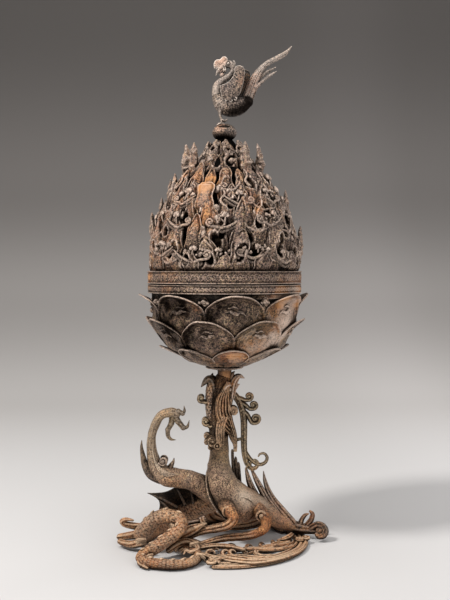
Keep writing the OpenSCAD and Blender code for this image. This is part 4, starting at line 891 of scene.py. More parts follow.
def petal_row(name, node, d0, ds, d1, flare, turn, mat, slot, seed, lump, wavy=0.0, gaps=False, vs=0.36, dish=3.2, thin=1.0, turnout=2.1, curls=True):
    b = Build()
    rg = np.random.default_rng(seed)
    sn = math.sin(math.radians(22.5))
    H = d0 - d1
    for k in range(8):
        az = turn + 45.0 * k

        def radius(h, d0=d0):
            return petal_r(d0 - h, d0, ds, d1, flare)
        pl = Place(az, radius, SEAM_Z - d0)
        nv, nu = 54, 41
        x = np.linspace(0, 1, nv)
        v = 1 - (1 - x) ** 1.7
        w = np.where(v < vs, np.interp(v * 0.5 / vs, LOW[:, 0], LOW[:, 1]), np.maximum(1 - np.clip((v - vs) / (1 - vs), 0, 1) ** 2.25, 0) ** 0.52)
        w = w * (cup_r(ds) * sn + 0.6)
        w = np.minimum(w, cup_r(np.clip(d0 - v * H, 0, 103)) * sn + 1.0)
        w = np.maximum(w, 0.4)
        u = np.sin(np.linspace(-math.pi / 2, math.pi / 2, nu))
        S = u[None, :] * w[:, None]
        ph = rg.uniform(0, 6)
        wav = wavy * (0.6 * np.sin(S / w.max() * 4.2 + ph) + 0.4 * np.sin(S / w.max() * 8.0 + 2 * ph)) * sstep(0.55, 1.0, v)[:, None]
        Hh = (v * H)[:, None] + wav
        line = evenly(np.concatenate([np.stack([S[:, 0], Hh[:, 0]], -1), np.stack([S[:, -1], Hh[:, -1]], -1)[::-1]]), 1.0)
        edge = edge_of(S, Hh, line)
        ft = (0.10 + 0.90 * sstep(vs - 0.26, vs - 0.02, v))[:, None] if vs > 0.4 else 1.0
        th = thin * (2.4 - 0.9 * v)[:, None] * ft
        swell = 2.4 * thin * (1 - np.exp(-(edge / 9.0) ** 2)) * sstep(0.62, 0.25, v)[:, None] * ft
        hollow = -dish * (1 - np.exp(-(edge / 6.5) ** 2)) * (sstep(0.30, 0.74, v) * (1 - 0.25 * sstep(0.8, 1, v)))[:, None]
        base = pl(S, Hh, 0.0)
        soft = 1.5 * (vnoise(base, 15.0, seed + k) - 0.5) + 0.9 * (vnoise(base, 6.0, seed + k) - 0.5) + 0.5 * (vnoise(base, 2.2, k) - 0.5)
        bumps = np.zeros_like(S)
        for j in range(7 if lump else 0):
            sx, sy, sr = rg.uniform(-0.34, 0.34) * w.max(), H * rg.uniform(0.36, 0.70), rg.uniform(1.8, 3.6)
            an = rg.uniform(0, math.pi)
            dx, dy = S - sx, Hh - sy
            p, q2 = dx * math.cos(an) + dy * math.sin(an), -dx * math.sin(an) + dy * math.cos(an)
            bumps = np.maximum(bumps, lump * np.exp(-((p / (sr * 1.9)) ** 2 + (q2 / sr) ** 2)))
        groove_shade = -0.55 * np.exp(-((edge - 2.8) / 1.1) ** 2)
        bk = np.maximum(0.25 + 0.25 * swell + hollow, 0.2 - 0.6 * (radius(Hh) - cup_r(np.clip(d0 - Hh, 0, 103))))
        up = turnout * np.exp(-(edge / 5.5) ** 2) * sstep(0.44, 0.80, v)[:, None]
        top = np.maximum(0.4 + th + swell + hollow + (soft + bumps) * sstep(1.5, 6.0, edge) * ft + groove_shade * ft, bk + 0.4) + up
        F = pl(S, Hh + 0.5 * up, top)
        Bk = pl(S, Hh + 0.5 * up, bk + up)
        V, q, t = shell(F, Bk)
        # painted shade: darker in the groove inside the rim, in the dips of the relief and in the dish; the lumps a
        # little lighter
        wv = 0.02 + 0.10 * bumps - 0.55 * np.exp(-((edge - 2.8) / 1.2) ** 2) + 0.9 * np.clip(soft - 0.15, -0.6, 0) + 0.08 * np.clip(hollow, -4, 0)
        b.add(V, q, t, np.concatenate([wv.ravel(), np.full(wv.size, 0.05)]))
        arch = v > vs - 0.02
        rimline = np.concatenate([np.stack([S[:, 0], Hh[:, 0]], -1)[arch], np.stack([S[:, -1], Hh[:, -1]], -1)[arch][::-1]])
        rimline = evenly(rimline, 1.4)
        # the rim line is painted light on the left petals and dark on the right-front ones, as their lit and shaded
        # sides
        right = float(sstep(0.0, 0.60, math.cos(math.radians(az))) * sstep(0.3, -0.1, math.sin(math.radians(az))))
        out = turnout * sstep(0.44 * H, 0.80 * H, rimline[:, 1])
        wire(b, pl, np.stack([rimline[:, 0], rimline[:, 1] + 0.5 * out], -1), 0.55, 0.55, lift=1.6 + out, wear_and_shading=0.26 - 0.62 * right, step=1.2)
        if curls:
            hand = 1 if k % 2 else -1
            for path in (((-0.34, 0.60, 0.5), (-0.18, 0.66, 1.8), (0.0, 0.635, 2.4), (0.18, 0.68, 2.0), (0.32, 0.66, 0.5)),
                         ((-0.10, 0.74, 0.4), (0.04, 0.765, 1.5), (0.18, 0.74, 1.2), (0.28, 0.76, 0.4))):
                Q = smooth2(np.array(path), 7)
                x0, y0 = hand * Q[:, 0] * w.max(), Q[:, 1] * H
                at = np.array([top.ravel()[np.argmin((S.ravel() - i) ** 2 + (Hh.ravel() - j) ** 2)] for i, j in zip(x0, y0)])
                D = pl(x0, y0, at + 0.15 * Q[:, 2])
                b.put(rough_up(tube(np.concatenate([D, Q[:, 2:3]], 1), 1, 10, step=0.8), 0.7, 2.6, k), 0.0)
    if gaps:
        th = np.radians(np.linspace(-70, -4, 67))[None, :]
        zz = np.linspace(307.5, 316.4, 9)[:, None]
        R0 = 92.6 + 0 * th + 0 * zz
        F = np.stack([R0 * np.cos(th), R0 * np.sin(th), zz + 0 * th], -1)
        R1 = R0 + 1.4 * (vnoise(F, 5.0, 3.0) - 0.5) + 0.6 * (vnoise(F, 2.0, 4.0) - 0.5)
        F = np.stack([R1 * np.cos(th), R1 * np.sin(th), zz + 0 * th], -1)
        Bk = np.stack([(R0 - 1.6) * np.cos(th), (R0 - 1.6) * np.sin(th), zz + 0 * th], -1)
        V, q, t = shell(F, Bk)
        # painted shade: the strip behind the petals is near-black at the left, lighter towards the right, with a dark
        # back
        wv = (-0.9 + 1.25 * sstep(-68, -44, np.degrees(th))) + 0 * zz
        b.add(V, q, t, np.concatenate([wv.ravel(), np.full(wv.size, -0.9)]))
        for k in range(8):
            az = turn + 22.5 + 45.0 * k
            pl = Place(az, lambda h: np.interp(h, [0, 14, 24, 31], [86.6, 88.4, 90.2, 93.0]), SEAM_Z - 46.0)
            a = math.radians(az)
            right = float(sstep(0.0, 0.60, math.cos(a)) * sstep(0.3, -0.1, math.sin(a)))
            # painted shade: the plates between the petals are near-black, lighter on the right-front side where light
            # falls; the knobs on them a little dark, more so on the right
            hill(b, pl, 0, 0, 11.0, 32.0, 2, 0, 0, 0.1, t0=1.4, t1=1.0, bulge=0.8, nest=0.3, rough=0.3, nu=17, nv=24, rim=0.4, seed=k, wear_and_shading=-0.9 + 0.95 * right)
            for s, hh, rr in ((-5.0, 25.8, 2.2), (-0.6, 27.0, 3.6), (3.6, 25.6, 2.6), (1.2, 23.4, 2.4)):
                rock(b, pl(s, hh, 2.0), rr, k + s, -0.16 - 0.1 * right, 0.75)
    b.obj(name, mat, "stand", (node,), slot)


petal_row("petals_upper_row", "petals_upper", 72, 26, 10.8, 12.8, -82, BROWN, "patina_brown", 21, 1.5, 0.4, gaps=True, vs=0.53)
petal_row("petals_middle_row", "petals_middle", 95, 56, 40.5, 14, -59.5, BROWN, "patina_brown", 22, 1.3, 1.2, vs=0.465)
petal_row("petals_lower_row", "petals_lower", 100, 86, 75, 21, -82, BROWN, "patina_brown", 23, 0.6, 0.5, thin=0.35, turnout=0.8, curls=False)


# ------------------------------------------------------------------ stem collar
def collar():
    b = Build()
    z = SEAM_Z - 103
    prof = [[4.2, z - 4], [9.5, z - 4], [10.6, z - 3.4], [10.8, z - 2.4], [13, z - 1.9], [20.5, z - 1.1], [23.2, z - 0.8], [23.6, z - 0.4], [23.4, z], [4.2, z]]
    b.put(revolve(prof, 72), 0.15)
    for k in range(16):
        a = TAU * k / 16
        b.put(tube([[10.5 * math.cos(a), 10.5 * math.sin(a), z - 2.6, 1.0], [16 * math.cos(a), 16 * math.sin(a), z - 1.8, 1.2], [22.8 * math.cos(a), 22.8 * math.sin(a), z - 1.1, 0.6]], 4, 8), 0.2)
    b.obj("calyx_collar", BROWN, "stand", ("calyx_disc",), "patina_brown")
    b = Build()
    prof = [[4.2, 166]] + [[8.5 + 0.35 * math.exp(-((zz - 212.5) / 1.0) ** 2) + 0.35 * math.exp(-((zz - 215.5) / 0.8) ** 2), zz] for zz in np.linspace(166, 217, 40)] + [[4.2, 217]]
    b.put(revolve(prof, 48), 0.1)
    b.obj("stem_tube_turned", DARK, "stand", ("stem_tube",), "patina_dark")


collar()


# ------------------------------------------------------------------ dragon
def curl_xz(x, y, z, R0, R1, a0, a1, t0, t1, n=14):
    f = np.linspace(0, 1, n)
    a = np.radians(a0 + (a1 - a0) * f)
    R = R0 + (R1 - R0) * f
    return np.stack([x + R * np.cos(a), y + 0 * f, z + R * np.sin(a), t0 + (t1 - t0) * f], -1)


def curl_xy(x, y, z, R0, R1, a0, a1, t0, t1, n=16):
    f = np.linspace(0, 1, n)
    a = np.radians(a0 + (a1 - a0) * f)
    R = R0 + (R1 - R0) * f
    return np.stack([x + R * np.cos(a), y + R * np.sin(a), z + 0 * f, t0 + (t1 - t0) * f], -1)


def dragon():
    # torso: small scales, a rounded haunch, and the long line from breast to belly
    b = Build()
    b.put(rough_up(tube(BODY, 10, 76, fn=scales(3.4, 0.22), step=0.9), 0.5, 9.0), 0.14, 0.10)
    for s in (-1, 1):
        V, q, t = ball((24, -6 * s * -1 if s > 0 else -6, 46), (15.5, 15.0, 18.5), 40)
        V = V + 0.9 * np.stack([vnoise(V, 3.4, k) - 0.5 for k in (1.0, 2.0, 3.0)], -1)
        b.add(V, q, t, 0.10)
        P = smooth2([[-19.5, -7.5, 96], [-22.4, -8.5, 84], [-21.2, -14, 70], [-16.5, -18, 57], [-9, -20, 46], [-2, -20.4, 38], [6, -18, 31]], 8)
        P[:, 1] *= -s
        P[:, 1] -= 2 if s > 0 else 0
        b.put(tube(np.concatenate([P, np.interp(np.linspace(0, 1, len(P)), [0, 0.15, 0.8, 1], [0.3, 1.3, 1.3, 0.4])[:, None]], 1), 1, 10, step=1.0), 0.04)
        # a second bar beside the breast line, painted dark as the shade along it
        b.put(tube(np.concatenate([P + [2.4, 0.9 * s, 0], np.interp(np.linspace(0, 1, len(P)), [0, 0.15, 0.8, 1], [0.3, 1.3, 1.5, 0.4])[:, None]], 1), 1, 10, step=1.0), -1.0)
        P = smooth2([[10, -20.5, 64], [20, -21, 63.5], [31, -18.5, 59], [37.5, -14.5, 50], [37.5, -12.5, 40], [31, -14, 32]], 8)
        P[:, 1] *= -s
        b.put(tube(np.concatenate([P, np.interp(np.linspace(0, 1, len(P)), [0, 0.2, 0.8, 1], [0.3, 0.9, 0.9, 0.3])[:, None]], 1), 1, 10, step=1.0), 0.04)
    b.obj("dragon_torso", SKIN, "stand", ("dragon_body",), "patina_brown")
    # neck: smooth and thick, grained
    b = Build()
    b.put(rough_up(tube(NECK, 10, 84, fn=scales(3.0, 0.16), step=0.8), 0.4, 5.0), 0.12, 0.10)
    b.obj("dragon_neck_grained", SKIN, "stand", ("dragon_neck",), "patina_olive")
    # head core, the scaled ridge along its outer edge, eyes and brows
    b = Build()
    b.put(rough_up(tube(HEAD, 10, 72, fn=lobes(19, 0.08, 0.02), step=0.9), 0.4, 6.0), -0.55)
    b.put(tube([[-14, 0, 206, 4.0], [-16.6, 0, 196, 6.0], [-17.4, 0, 182, 6.6], [-17.2, 0, 166, 6.4], [-15.4, 0, 152, 5.2], [-12, 0, 141, 3.4]], 10, 40, 1.45, fn=scales(3.6, 1.1), step=0.7), 0.12, 0.95)
    hz = np.array(HEAD)

    def on_head(x, z, out, side=-1):
        """Point on the front (side -1) or back of the head at x, z."""
        cx = np.interp(z, hz[:, 2], hz[:, 0])
        r = np.interp(z, hz[:, 2], hz[:, 3]) + out
        dx = np.clip((x - cx) / r, -0.985, 0.985)
        return cx + dx * r, side * r * np.sqrt(1 - dx * dx)
    for side in (-1, 1):
        ex, ey = on_head(np.array([6.0]), np.array([193.0]), 0.6, side)
        b.put(ball((ex[0], ey[0], 193.0), (2.8, 2.2, 2.3), 14), 0.5)
        br = []
        for x, z in ((-1, 192), (2, 197), (6, 198.6), (10, 196.5)):
            xx, yy = on_head(np.array([x * 1.0]), np.array([z]), 1.0, side)
            br.append([xx[0], yy[0], z, 1.7])
        b.put(tube(br, 6, 8), 0.5)
    b.obj("dragon_head_scaled", BROWN, "stand", ("dragon_head",), "patina_brown")
    # jaws: a drooping leaf on the left, a beak on the right
    b = Build()
    b.put(tube([[-13, 0, 188, 5.4], [-14.5, 0, 197, 6.2], [-17.5, 0, 204.5, 5.4], [-21.5, 0, 204.4, 4.4], [-25.5, 0, 200.2, 3.0], [-29, 0, 195.5, 0.6]], 10, 26, 1.5, fn=lobes(7, 0.16), step=0.7), 0.30)
    b.put(tube([[-14, 0, 204, 3.2], [-15.6, 0, 208.6, 2.6], [-14.6, 0, 212.4, 0.7]], 6, 12, 1.2), 0.3)
    b.obj("upper_jaw_leaf", DARK, "stand", ("upper_jaw",), "patina_dark")
    b = Build()
    b.put(tube([[8.6, 0, 184, 5.0], [9.6, 0, 194, 5.6], [11.6, 0, 202, 5.4], [15, 0, 207.2, 4.6], [19.4, 0, 208.8, 3.0], [24.6, 0, 206.4, 0.6]], 10, 26, 1.45, fn=lobes(7, 0.18), step=0.7), 0.32)
    b.put(tube([[9, 0, 191, 3.6], [13, 0, 194.6, 3.2], [16, 0, 197.6, 2.2], [18.6, 0, 198.6, 0.6]], 8, 14, 1.2, fn=lobes(5, 0.16), step=0.7), 0.3)
    b.put(tube([[8.6, 0, 206, 3.4], [9.8, 0, 211.6, 2.6], [12.4, 0, 214.8, 0.6]], 6, 12, 1.2), 0.35)
    b.obj("lower_jaw_beak", BROWN, "stand", ("lower_jaw",), "patina_brown")
    # mane: a flowing sheaf of strands over the head to a point, and the beard under the throat
    b = Build()
    line = smooth2([[5, 202], [1.6, 193], [-1.6, 183], [-2.6, 174], [-2.2, 165], [0.4, 157], [5, 149], [9.4, 141], [12.2, 133], [13.4, 125], [13.2, 115]], 8)
    tn = np.gradient(line, axis=0)
    tn /= np.linalg.norm(tn, axis=1)[:, None]
    nm = np.stack([tn[:, 1], -tn[:, 0]], -1)
    f = np.linspace(0, 1, len(line))
    for side in (-1, 1):
        for j in range(5):
            off = (j - 2.0) * 3.5 * (0.30 + 0.70 * sstep(0.0, 0.30, f)) * (1 - 0.80 * sstep(0.50, 1.0, f))
            Q = line + nm * off[:, None]
            z = np.clip(Q[:, 1], 116, 203)
            x, y = on_head(Q[:, 0], np.clip(z, 130, 203), 1.3)
            low = sstep(142, 122, z)
            x = x * (1 - low) + Q[:, 0] * low
            y = side * np.abs(y * (1 - low) + low * -5.5)
            r = 1.75 * (0.55 + 0.45 * sstep(0, 0.15, f)) * (1 - 0.55 * sstep(0.62, 1.0, f))
            b.put(tube(np.stack([x, y, z, r], -1), 1, 16, fn=lobes(4, 0.22, 0.02), step=0.9), 0.30 if j % 2 else 0.14, 1.0)
        # beard
        b.put(rough_up(ball((-13.0, side * 7.0, 128.5), (9.0, 6.2, 9.0), 24), 0.5, 4.0), -0.7)
        for x1, y1, z1, R in ((-22.0, 3.4, 134.0, 3.6), (-21.6, 4.4, 126.6, 3.6), (-16.8, 6.0, 120.4, 3.6)):
            b.put(tube(curl_xz(x1, side * y1, z1, R, 1.0, 40, 400, 1.6, 1.0, 18), 3, 10, 1.3, step=0.7), 0.02)
            # a dark disc in the heart of the curl, painted as the shade in its hollow
            b.put(ball((x1, side * y1, z1), (R * 0.8, 2.6, R * 0.8), 12), -0.3)
        for j, (x1, z1, R, y1) in enumerate(((-14.6, 129.4, 7.0, 12.0), (-9.0, 124.0, 4.6, 12.4))):
            st = [[-3.0 + 3 * j, 13.2, 160], [-6.0 + 3 * j, 13.0, 151], [-7.0 + 3.5 * j, 12.4, 142], [-6.5 + 2.5 * j, 11.8, 132 - 4 * j]]
            for i in range(3):
                sp = curl_xz(x1, side * y1, z1, R - 0.2 - 1.5 * i * 0.6, R * 0.26, -30, -30 - 430 + 60 * i, 1.5, 0.9, 20)
                lead = [[p[0] + 2.6 * (i - 1), side * (p[1] + 0.7 - 0.3 * abs(i - 1)), p[2] - 0.6 * i, 1.5] for p in st]
                b.put(tube(np.concatenate([lead, sp]), 4, 9, step=0.8), 0.02)
            # a dark disc in the heart of the curl, painted as the shade in its hollow
            b.put(ball((x1, side * y1, z1), (R * 0.8, 2.2, R * 0.8), 16), -0.6)
            b.put(ball((x1, side * (y1 + 1.6), z1), (1.4, 1.2, 1.4), 10), 0.2)
        # curl behind the cheek
        sp = curl_xz(11.0, side * 5.0, 165.6, 4.8, 1.4, 160, 160 - 440, 2.3, 1.4, 22)
        b.put(tube(np.concatenate([[[4.0, side * 8.0, 176, 2.0], [5.4, side * 6.6, 171.5, 2.3]], sp]), 4, 12, 1.2, step=0.8), 0.40)
        b.put(ball((11.0, side * 5.0, 165.6), (2.0, 2.6, 2.0), 12), 0.45)
    b.put(tube([[10, 0, 190, 3.4], [6.4, 0, 178, 4.0], [4.6, 0, 166, 4.4], [6.6, 0, 153, 4.2], [10.4, 0, 141, 3.8], [13.2, 0, 129, 3.0], [14.2, 0, 115, 0.8]], 10, 36, 1.5, fn=lobes(8, 0.22), step=0.8), 0.3)
    b.obj("mane_strands", RUSTY, "stand", ("mane",), "patina_rust")
    # long horn-like strand and its curls
    b = Build()
    b.put(tube([[8, 2, 189, 4.0], [14, 2, 183, 4.6], [20, 2, 173, 4.8], [23.6, 2, 158, 4.6], [24.2, 2, 140, 4.3], [24.2, 2, 122, 4.1], [25.6, 2, 108, 3.9], [29, 2, 97.4, 3.6], [34.6, 2, 92.6, 3.0],
                [40.2, 2, 94.6, 2.5], [41.4, 2, 100.0, 2.2], [37.6, 2, 103.2, 1.9], [33.4, 2, 101.0, 1.6], [33.0, 2, 97.6, 1.1]], 10, 34, fn=lobes(5, 0.24, 0.003), step=0.7), 0.12)
    b.put(tube([[26.6, 2, 113, 2.6], [31.5, 2, 105.5, 2.6], [38, 2, 99.8, 2.5], [45.5, 2, 97.8, 2.4], [51.6, 2, 101.2, 2.2], [53.2, 2, 107, 2.0], [49.6, 2, 111.6, 1.7], [44.6, 2, 111.0, 1.4], [42.4, 2, 108.0, 0.9]], 10, 20, fn=lobes(4, 0.2), step=0.7), 0.14)
    for (rx, rz), (cx, cz), R in (((14, 182), (30.4, 183.4), 4.8), ((18, 176), (36.0, 172.4), 5.0), ((21, 166), (38.6, 155.6), 6.0)):
        path = [[rx, 2, rz, 3.2], [rx + 0.40 * (cx - rx), 2, rz + 0.30 * (cz - rz) - 1.8, 3.0], [rx + 0.72 * (cx - rx), 2, cz - R * 0.95 + 0.10 * (rz - cz), 2.6]]
        sp = curl_xz(cx, 2, cz, R, R * 0.30, -95, 330, 2.3, 1.3, 20)
        b.put(tube(np.concatenate([path, sp]), 5, 18, 1.3, fn=lobes(4, 0.2), step=0.7), 0.14)
        # a dark disc in the heart of the curl, painted as the shade in its hollow
        b.put(ball((cx, 2, cz), (R * 0.72, 2.2, R * 0.72), 14), -0.5)
        b.put(ball((cx, 2, cz), (2.0, 2.8, 2.0), 12), 0.2)
    b.put(tube([[13, 2, 128, 2.0], [18, 2, 129.5, 2.0], [22, 2, 130, 2.0]], 5, 10), 0.2)
    b.obj("horn_strand_curls", OLIV, "stand", ("horn_strand",), "patina_olive")
    # curls at the snout and cheek
    b = Build()
    for s in (-1, 1):
        for (x0, z0), (cx, cz), R, y in (((-17, 178), (-28.6, 181.6), 4.8, 5.5), ((-14, 148), (-22.8, 153.0), 4.8, 6.5)):
            sp = curl_xz(cx, y * s, cz, R, R * 0.3, -60, -440, 2.2, 1.2, 20)
            path = [[x0, y * 0.8 * s, z0, 2.8], [x0 + 0.5 * (cx - x0), y * s, z0 + 0.1 * (cz - z0) - 1.6, 2.6]]
            b.put(tube(np.concatenate([path, sp]), 5, 18, 1.3, fn=lobes(4, 0.18), step=0.7), 0.14)
            # a dark disc in the heart of the curl, painted as the shade in its hollow
            b.put(ball((cx, y * s, cz), (R * 0.72, 2.2, R * 0.72), 14), -0.5)
            b.put(ball((cx, y * s, cz), (2.2, 3.0, 2.2), 12), 0.2)
        b.put(tube([[-12, 4 * s, 116, 2.6], [-16, 5 * s, 119.5, 2.2], [-18.4, 5 * s, 124, 1.2]], 5, 10), 0.3)
    b.obj("whisker_curls_wound", OLIV, "stand", ("whisker_curls",), "patina_olive")


dragon()


def limbs():
    # raised foreleg
    b = Build()
    leg = [[-12, 6, 60, 16], [-27, 2, 70, 14], [-42, -3, 79, 11.8], [-58, -6, 82.5, 12], [-72, -8, 85.5, 12.6], [-84, -8, 96, 10], [-89.5, -8, 113, 7],
           [-90.5, -9, 132, 5.4], [-85.5, -10, 150, 5.2], [-77, -11, 162.5, 5.4], [-66, -12, 165.5, 5.8], [-60, -12, 164, 6]]

    def skin(L, th, r, LT):
        body = scales(3.2, 0.2)(L, th, r, LT)
        cords = lobes(9, 0.05, 0.0)(L, th, r, LT) + 0.1
        m = sstep(LT * 0.46, LT * 0.60, L)
        return body * (1 - m) + cords * m
    b.put(rough_up(tube(leg, 10, 60, fn=skin, step=0.8), 0.35, 5.0), 0.16, 0.12)
    for k in range(5):   # cords that sweep round the elbow
        P = smooth2([[-58 - 2.4 * k, -18.4 - 0.4 * k, 90 + 0.6 * k], [-70 - 2.0 * k, -20.6 + k * 0.5, 88.5 + 2.2 * k], [-80 - 1.6 * k, -19.4 + k * 1.0, 94 + 3.4 * k], [-86 - 0.8 * k, -16.2 + 0.6 * k, 105 + 4 * k], [-88.6 - 0.4 * k, -14.4 + 0.3 * k, 118 + 4 * k]], 8)
        b.put(tube(np.concatenate([P, np.interp(np.linspace(0, 1, len(P)), [0, 0.2, 0.8, 1], [0.3, 1.0, 0.9, 0.3])[:, None]], 1), 1, 8, step=1.0), 0.08)
    b.obj("raised_foreleg_skin", SKIN, "stand", ("raised_foreleg",), "patina_olive")
    # its claw: knuckled toes and hooked talons
    b = Build()
    toes = (([-62, -13, 164.6, 4.4], [-57.0, -14, 167.0, 3.4], [-51.6, -15, 164.6, 2.9], [[-51.6, -15, 164.8, 2.5], [-49.2, -15, 168.0, 1.8], [-49.8, -15, 174.0, 0.3]]),
            ([-62, -12, 162, 4.8], [-57.4, -12, 154.4, 3.8], [-51.0, -12, 146.6, 3.3], [[-51.0, -12, 146.8, 2.7], [-46.0, -12, 147.6, 2.0], [-43.4, -12, 155.6, 0.3]]),
            ([-64, -11, 161, 4.6], [-65.8, -9, 151.4, 3.6], [-70.2, -8, 143.4, 3.2], [[-70.2, -8, 143.6, 3.0], [-70.0, -7.5, 136.0, 2.6], [-66.4, -7.2, 131.4, 1.8], [-60.4, -7, 130.4, 0.3]]))
    for p0, p1, p2, nail in toes:
        b.put(tube([p0, p1], 6, 16, fn=lobes(5, 0.12), step=0.7), 0.3)
        b.put(tube([p1, p2], 6, 16, fn=lobes(5, 0.12), step=0.7), 0.3)
        for p in (p1, p2):
            b.put(ball(p[:3], p[3] * 1.06, 14), 0.12)
        b.put(tube(nail, 8, 14, step=0.5), 0.10)
    b.put(ball((-62.5, -12, 163.4), (6.0, 5.6, 5.2), 20), 0.1)
    b.obj("raised_claw_talons", DARK, "stand", ("raised_claw",), "patina_dark")
    # flame at the elbow, thorn and elbow spiral
    b = Build()
    b.put(tube([[-80, -8, 82, 6.5], [-91, -8, 88, 6.4], [-98, -8, 99, 4.8], [-101.5, -8, 113, 3], [-102.8, -8, 122, 1.8], [-102.5, -8, 130, 0.5]], 10, 24, 1.15, fn=lobes(5, 0.16), step=0.8), -0.25)
    b.put(tube([[-70, -8, 92, 4.6], [-66, -8, 99, 3.2], [-63.5, -8, 103.5, 1.8], [-62.5, -8, 108, 0.4]], 8, 16, fn=lobes(4, 0.14), step=0.8), 0.0)
    for y in (-15.5, -1.0):
        b.put(tube(curl_xz(-76, y, 105.5, 5.6, 1.8, -150, 320, 1.7, 1.1, 26), 3, 12, 1.1, step=0.8), 0.12)
        b.put(ball((-76, y, 105.5), (2.4, 2.2, 2.4), 16), 0.2)
    b.obj("elbow_flame_spiral", BROWN, "stand", ("elbow_flame",), "patina_brown")
    # standing legs
    fl = [[-2, -8, 51, 9], [2, -24, 52, 8.6], [6, -35, 50, 7.6], [10.5, -41, 42, 6.4], [5, -43, 34.5, 5.4], [-8, -41, 30, 4.8], [-26, -36, 25, 4], [-46, -38, 17, 3]]
    rl = [[34, 0, 45, 9.5], [42, -10, 44, 9], [48, -18, 39.5, 7.8], [51, -24, 30, 6.4], [44, -30, 22.5, 5.4], [26, -35, 18.4, 4.8], [-2, -39, 17, 4.2], [-27, -49, 13, 3.2], [-44, -60, 10, 2.6]]
    r1 = [[-6, 18, 52, 12], [-16, 36, 46, 11.5], [-22, 52, 32, 9.5], [-16, 62, 16, 7.5], [4, 70, 8, 5.5], [26, 72, 6, 4.5], [38, 80, 5, 3]]
    r2 = [[42, 16, 42, 11], [56, 30, 36, 10.5], [62, 42, 26, 9], [50, 50, 14, 7], [32, 48, 8, 5.5], [10, 46, 6, 4.5], [-4, 52, 5, 3]]
    for name, node, pts, slot, face, hand in (("front_leg_skin", "front_leg", fl, "patina_rust", -1, 1), ("right_leg_skin", "right_leg", rl, "patina_rust", -1, 1),
                                              ("rear_left_leg_skin", "rear_left_leg", r1, "patina_rust", 1, -1), ("rear_right_leg_skin", "rear_right_leg", r2, "patina_rust", 1, -1)):
        b = Build()

        def skin2(L, th, r, LT):
            m = sstep(LT * 0.36, LT * 0.50, L)
            return scales(3.4, 0.25)(L, th, r, LT) * (1 - m) + (lobes(6, 0.24)(L, th, r, LT) + 0.4) * m
        b.put(rough_up(tube(pts, 10, 48, fn=skin2, step=0.8), 0.3, 5.0), 0.24, 0.55)
        # bold spiral over the knee
        kx, ky, kz, kr = pts[2]
        qx, qy, qz, qr = pts[1]
        cx, cz = 0.6 * kx + 0.4 * qx, 0.6 * kz + 0.4 * qz - 1
        sp = spiral(0, 0, 7.6, 1.6, math.radians(-70), -hand * 1.45, 50)
        rr = np.hypot(sp[:, 0], sp[:, 1])
        yy = 0.5 * (ky + qy) + face * (np.sqrt(np.maximum(kr * kr * 1.5 - 0.62 * rr * rr, 16.0)) + 1.0)
        P = np.stack([cx + sp[:, 0], yy, cz + sp[:, 1], np.interp(np.linspace(0, 1, 50), [0, 0.2, 1], [0.6, 1.7, 1.2])], -1)
        b.put(tube(P, 1, 10, step=0.9), 0.16)
        b.put(ball((cx, yy[-1] + 0.2 * face, cz), (2.4, 1.8, 2.4), 12), 0.2)
        # toes
        e = np.array(pts[-1])
        d = np.array(pts[-1][:3]) - np.array(pts[-2][:3])
        d = d / np.linalg.norm(d)
        pr = np.array([-d[1], d[0], 0])
        for s in (-1, 0, 1):
            p0 = e[:3] - d * 3
            p1 = e[:3] + d * 4 + pr * s * 4 + [0, 0, 0.5]
            p2 = e[:3] + d * 9 + pr * s * 6.5 + [0, 0, -1.2]
            p2[2] = max(p2[2], 1.5)
            b.put(tube([[*p0, 2.4], [*p1, 2.2], [*p2, 0.5]], 6, 10), 0.3)
        b.obj(name, RUSTY, "stand", (node,), slot)
    # tail
    b = Build()
    tail = [[-2, 10, 56, 15], [-26, 22, 44, 15], [-56, 26, 30, 14], [-82, 12, 20, 12.5], [-99, -14, 14.5, 11.5], [-97, -40, 26, 10],
            [-82, -51, 44, 9], [-66, -54, 48, 8.8], [-53, -57, 43.5, 8.4], [-55, -63, 34, 8.2], [-71, -70, 22.5, 8], [-87, -76, 13.5, 7.6],
            [-96, -83, 8.5, 7], [-89, -96, 7, 6.6], [-71, -103.5, 6.6, 6.2], [-51, -103.5, 6.4, 6], [-36, -92, 6.4, 5.8], [-30, -75, 7, 5.2],
            [-37, -63, 9, 4.4], [-47, -58, 12, 2.8]]
    b.put(rough_up(tube(tail, 12, 48, fn=scales(4.2, 0.7), step=0.8), 0.4, 5.0), 0.28, 0.7)
    P = evenly(catmull(tail, 12), 6.5)
    T, N, B = frames(P[:, :3])
    for i in range(8, len(P) - 4):   # fins along the ridge of the tail
        t, r = T[i], P[i][3]
        up = np.array([0, 0, 1.0]) - t * t[2]
        if np.linalg.norm(up) < 0.3 or i % 2:
            continue
        up /= np.linalg.norm(up)
        base = P[i][:3] + up * (r - 1.0)
        b.put(tube([[*(base - t * 2.4), 1.7], [*(base + up * 1.0), 1.5], [*(base + up * 1.9 + t * 2.8), 0.4]], 4, 8), 0.4)
    # frilled edges where the coil meets the ground
    for hx, hy, hz0, ang, R in ((-98, -62, 20, 200, 5.0), (-99, -30, 20, 170, 5.4), (-36, -60, 15, 20, 4.6), (-62, -62, 38, 120, 4.0), (-28, -84, 9, -30, 5.0), (-86, -90, 10, -120, 4.6)):
        a = math.radians(ang)
        e = np.array([math.cos(a), math.sin(a)])
        for j in range(3):
            b.put(tube([[hx - e[0] * 4, hy - e[1] * 4, hz0 - 3 + 2.4 * j, 2.2], [hx + e[0] * 3, hy + e[1] * 3, hz0 + 1.5 * j, 1.8], [hx + e[0] * (R + 2), hy + e[1] * (R + 2), max(hz0 - 2 + 4.0 * j - 3, 1.2), 0.5]], 6, 8, step=0.9), 0.35)
    b.obj("tail_coil_scaled", RUSTY, "stand", ("tail_coil",), "patina_rust")


limbs()


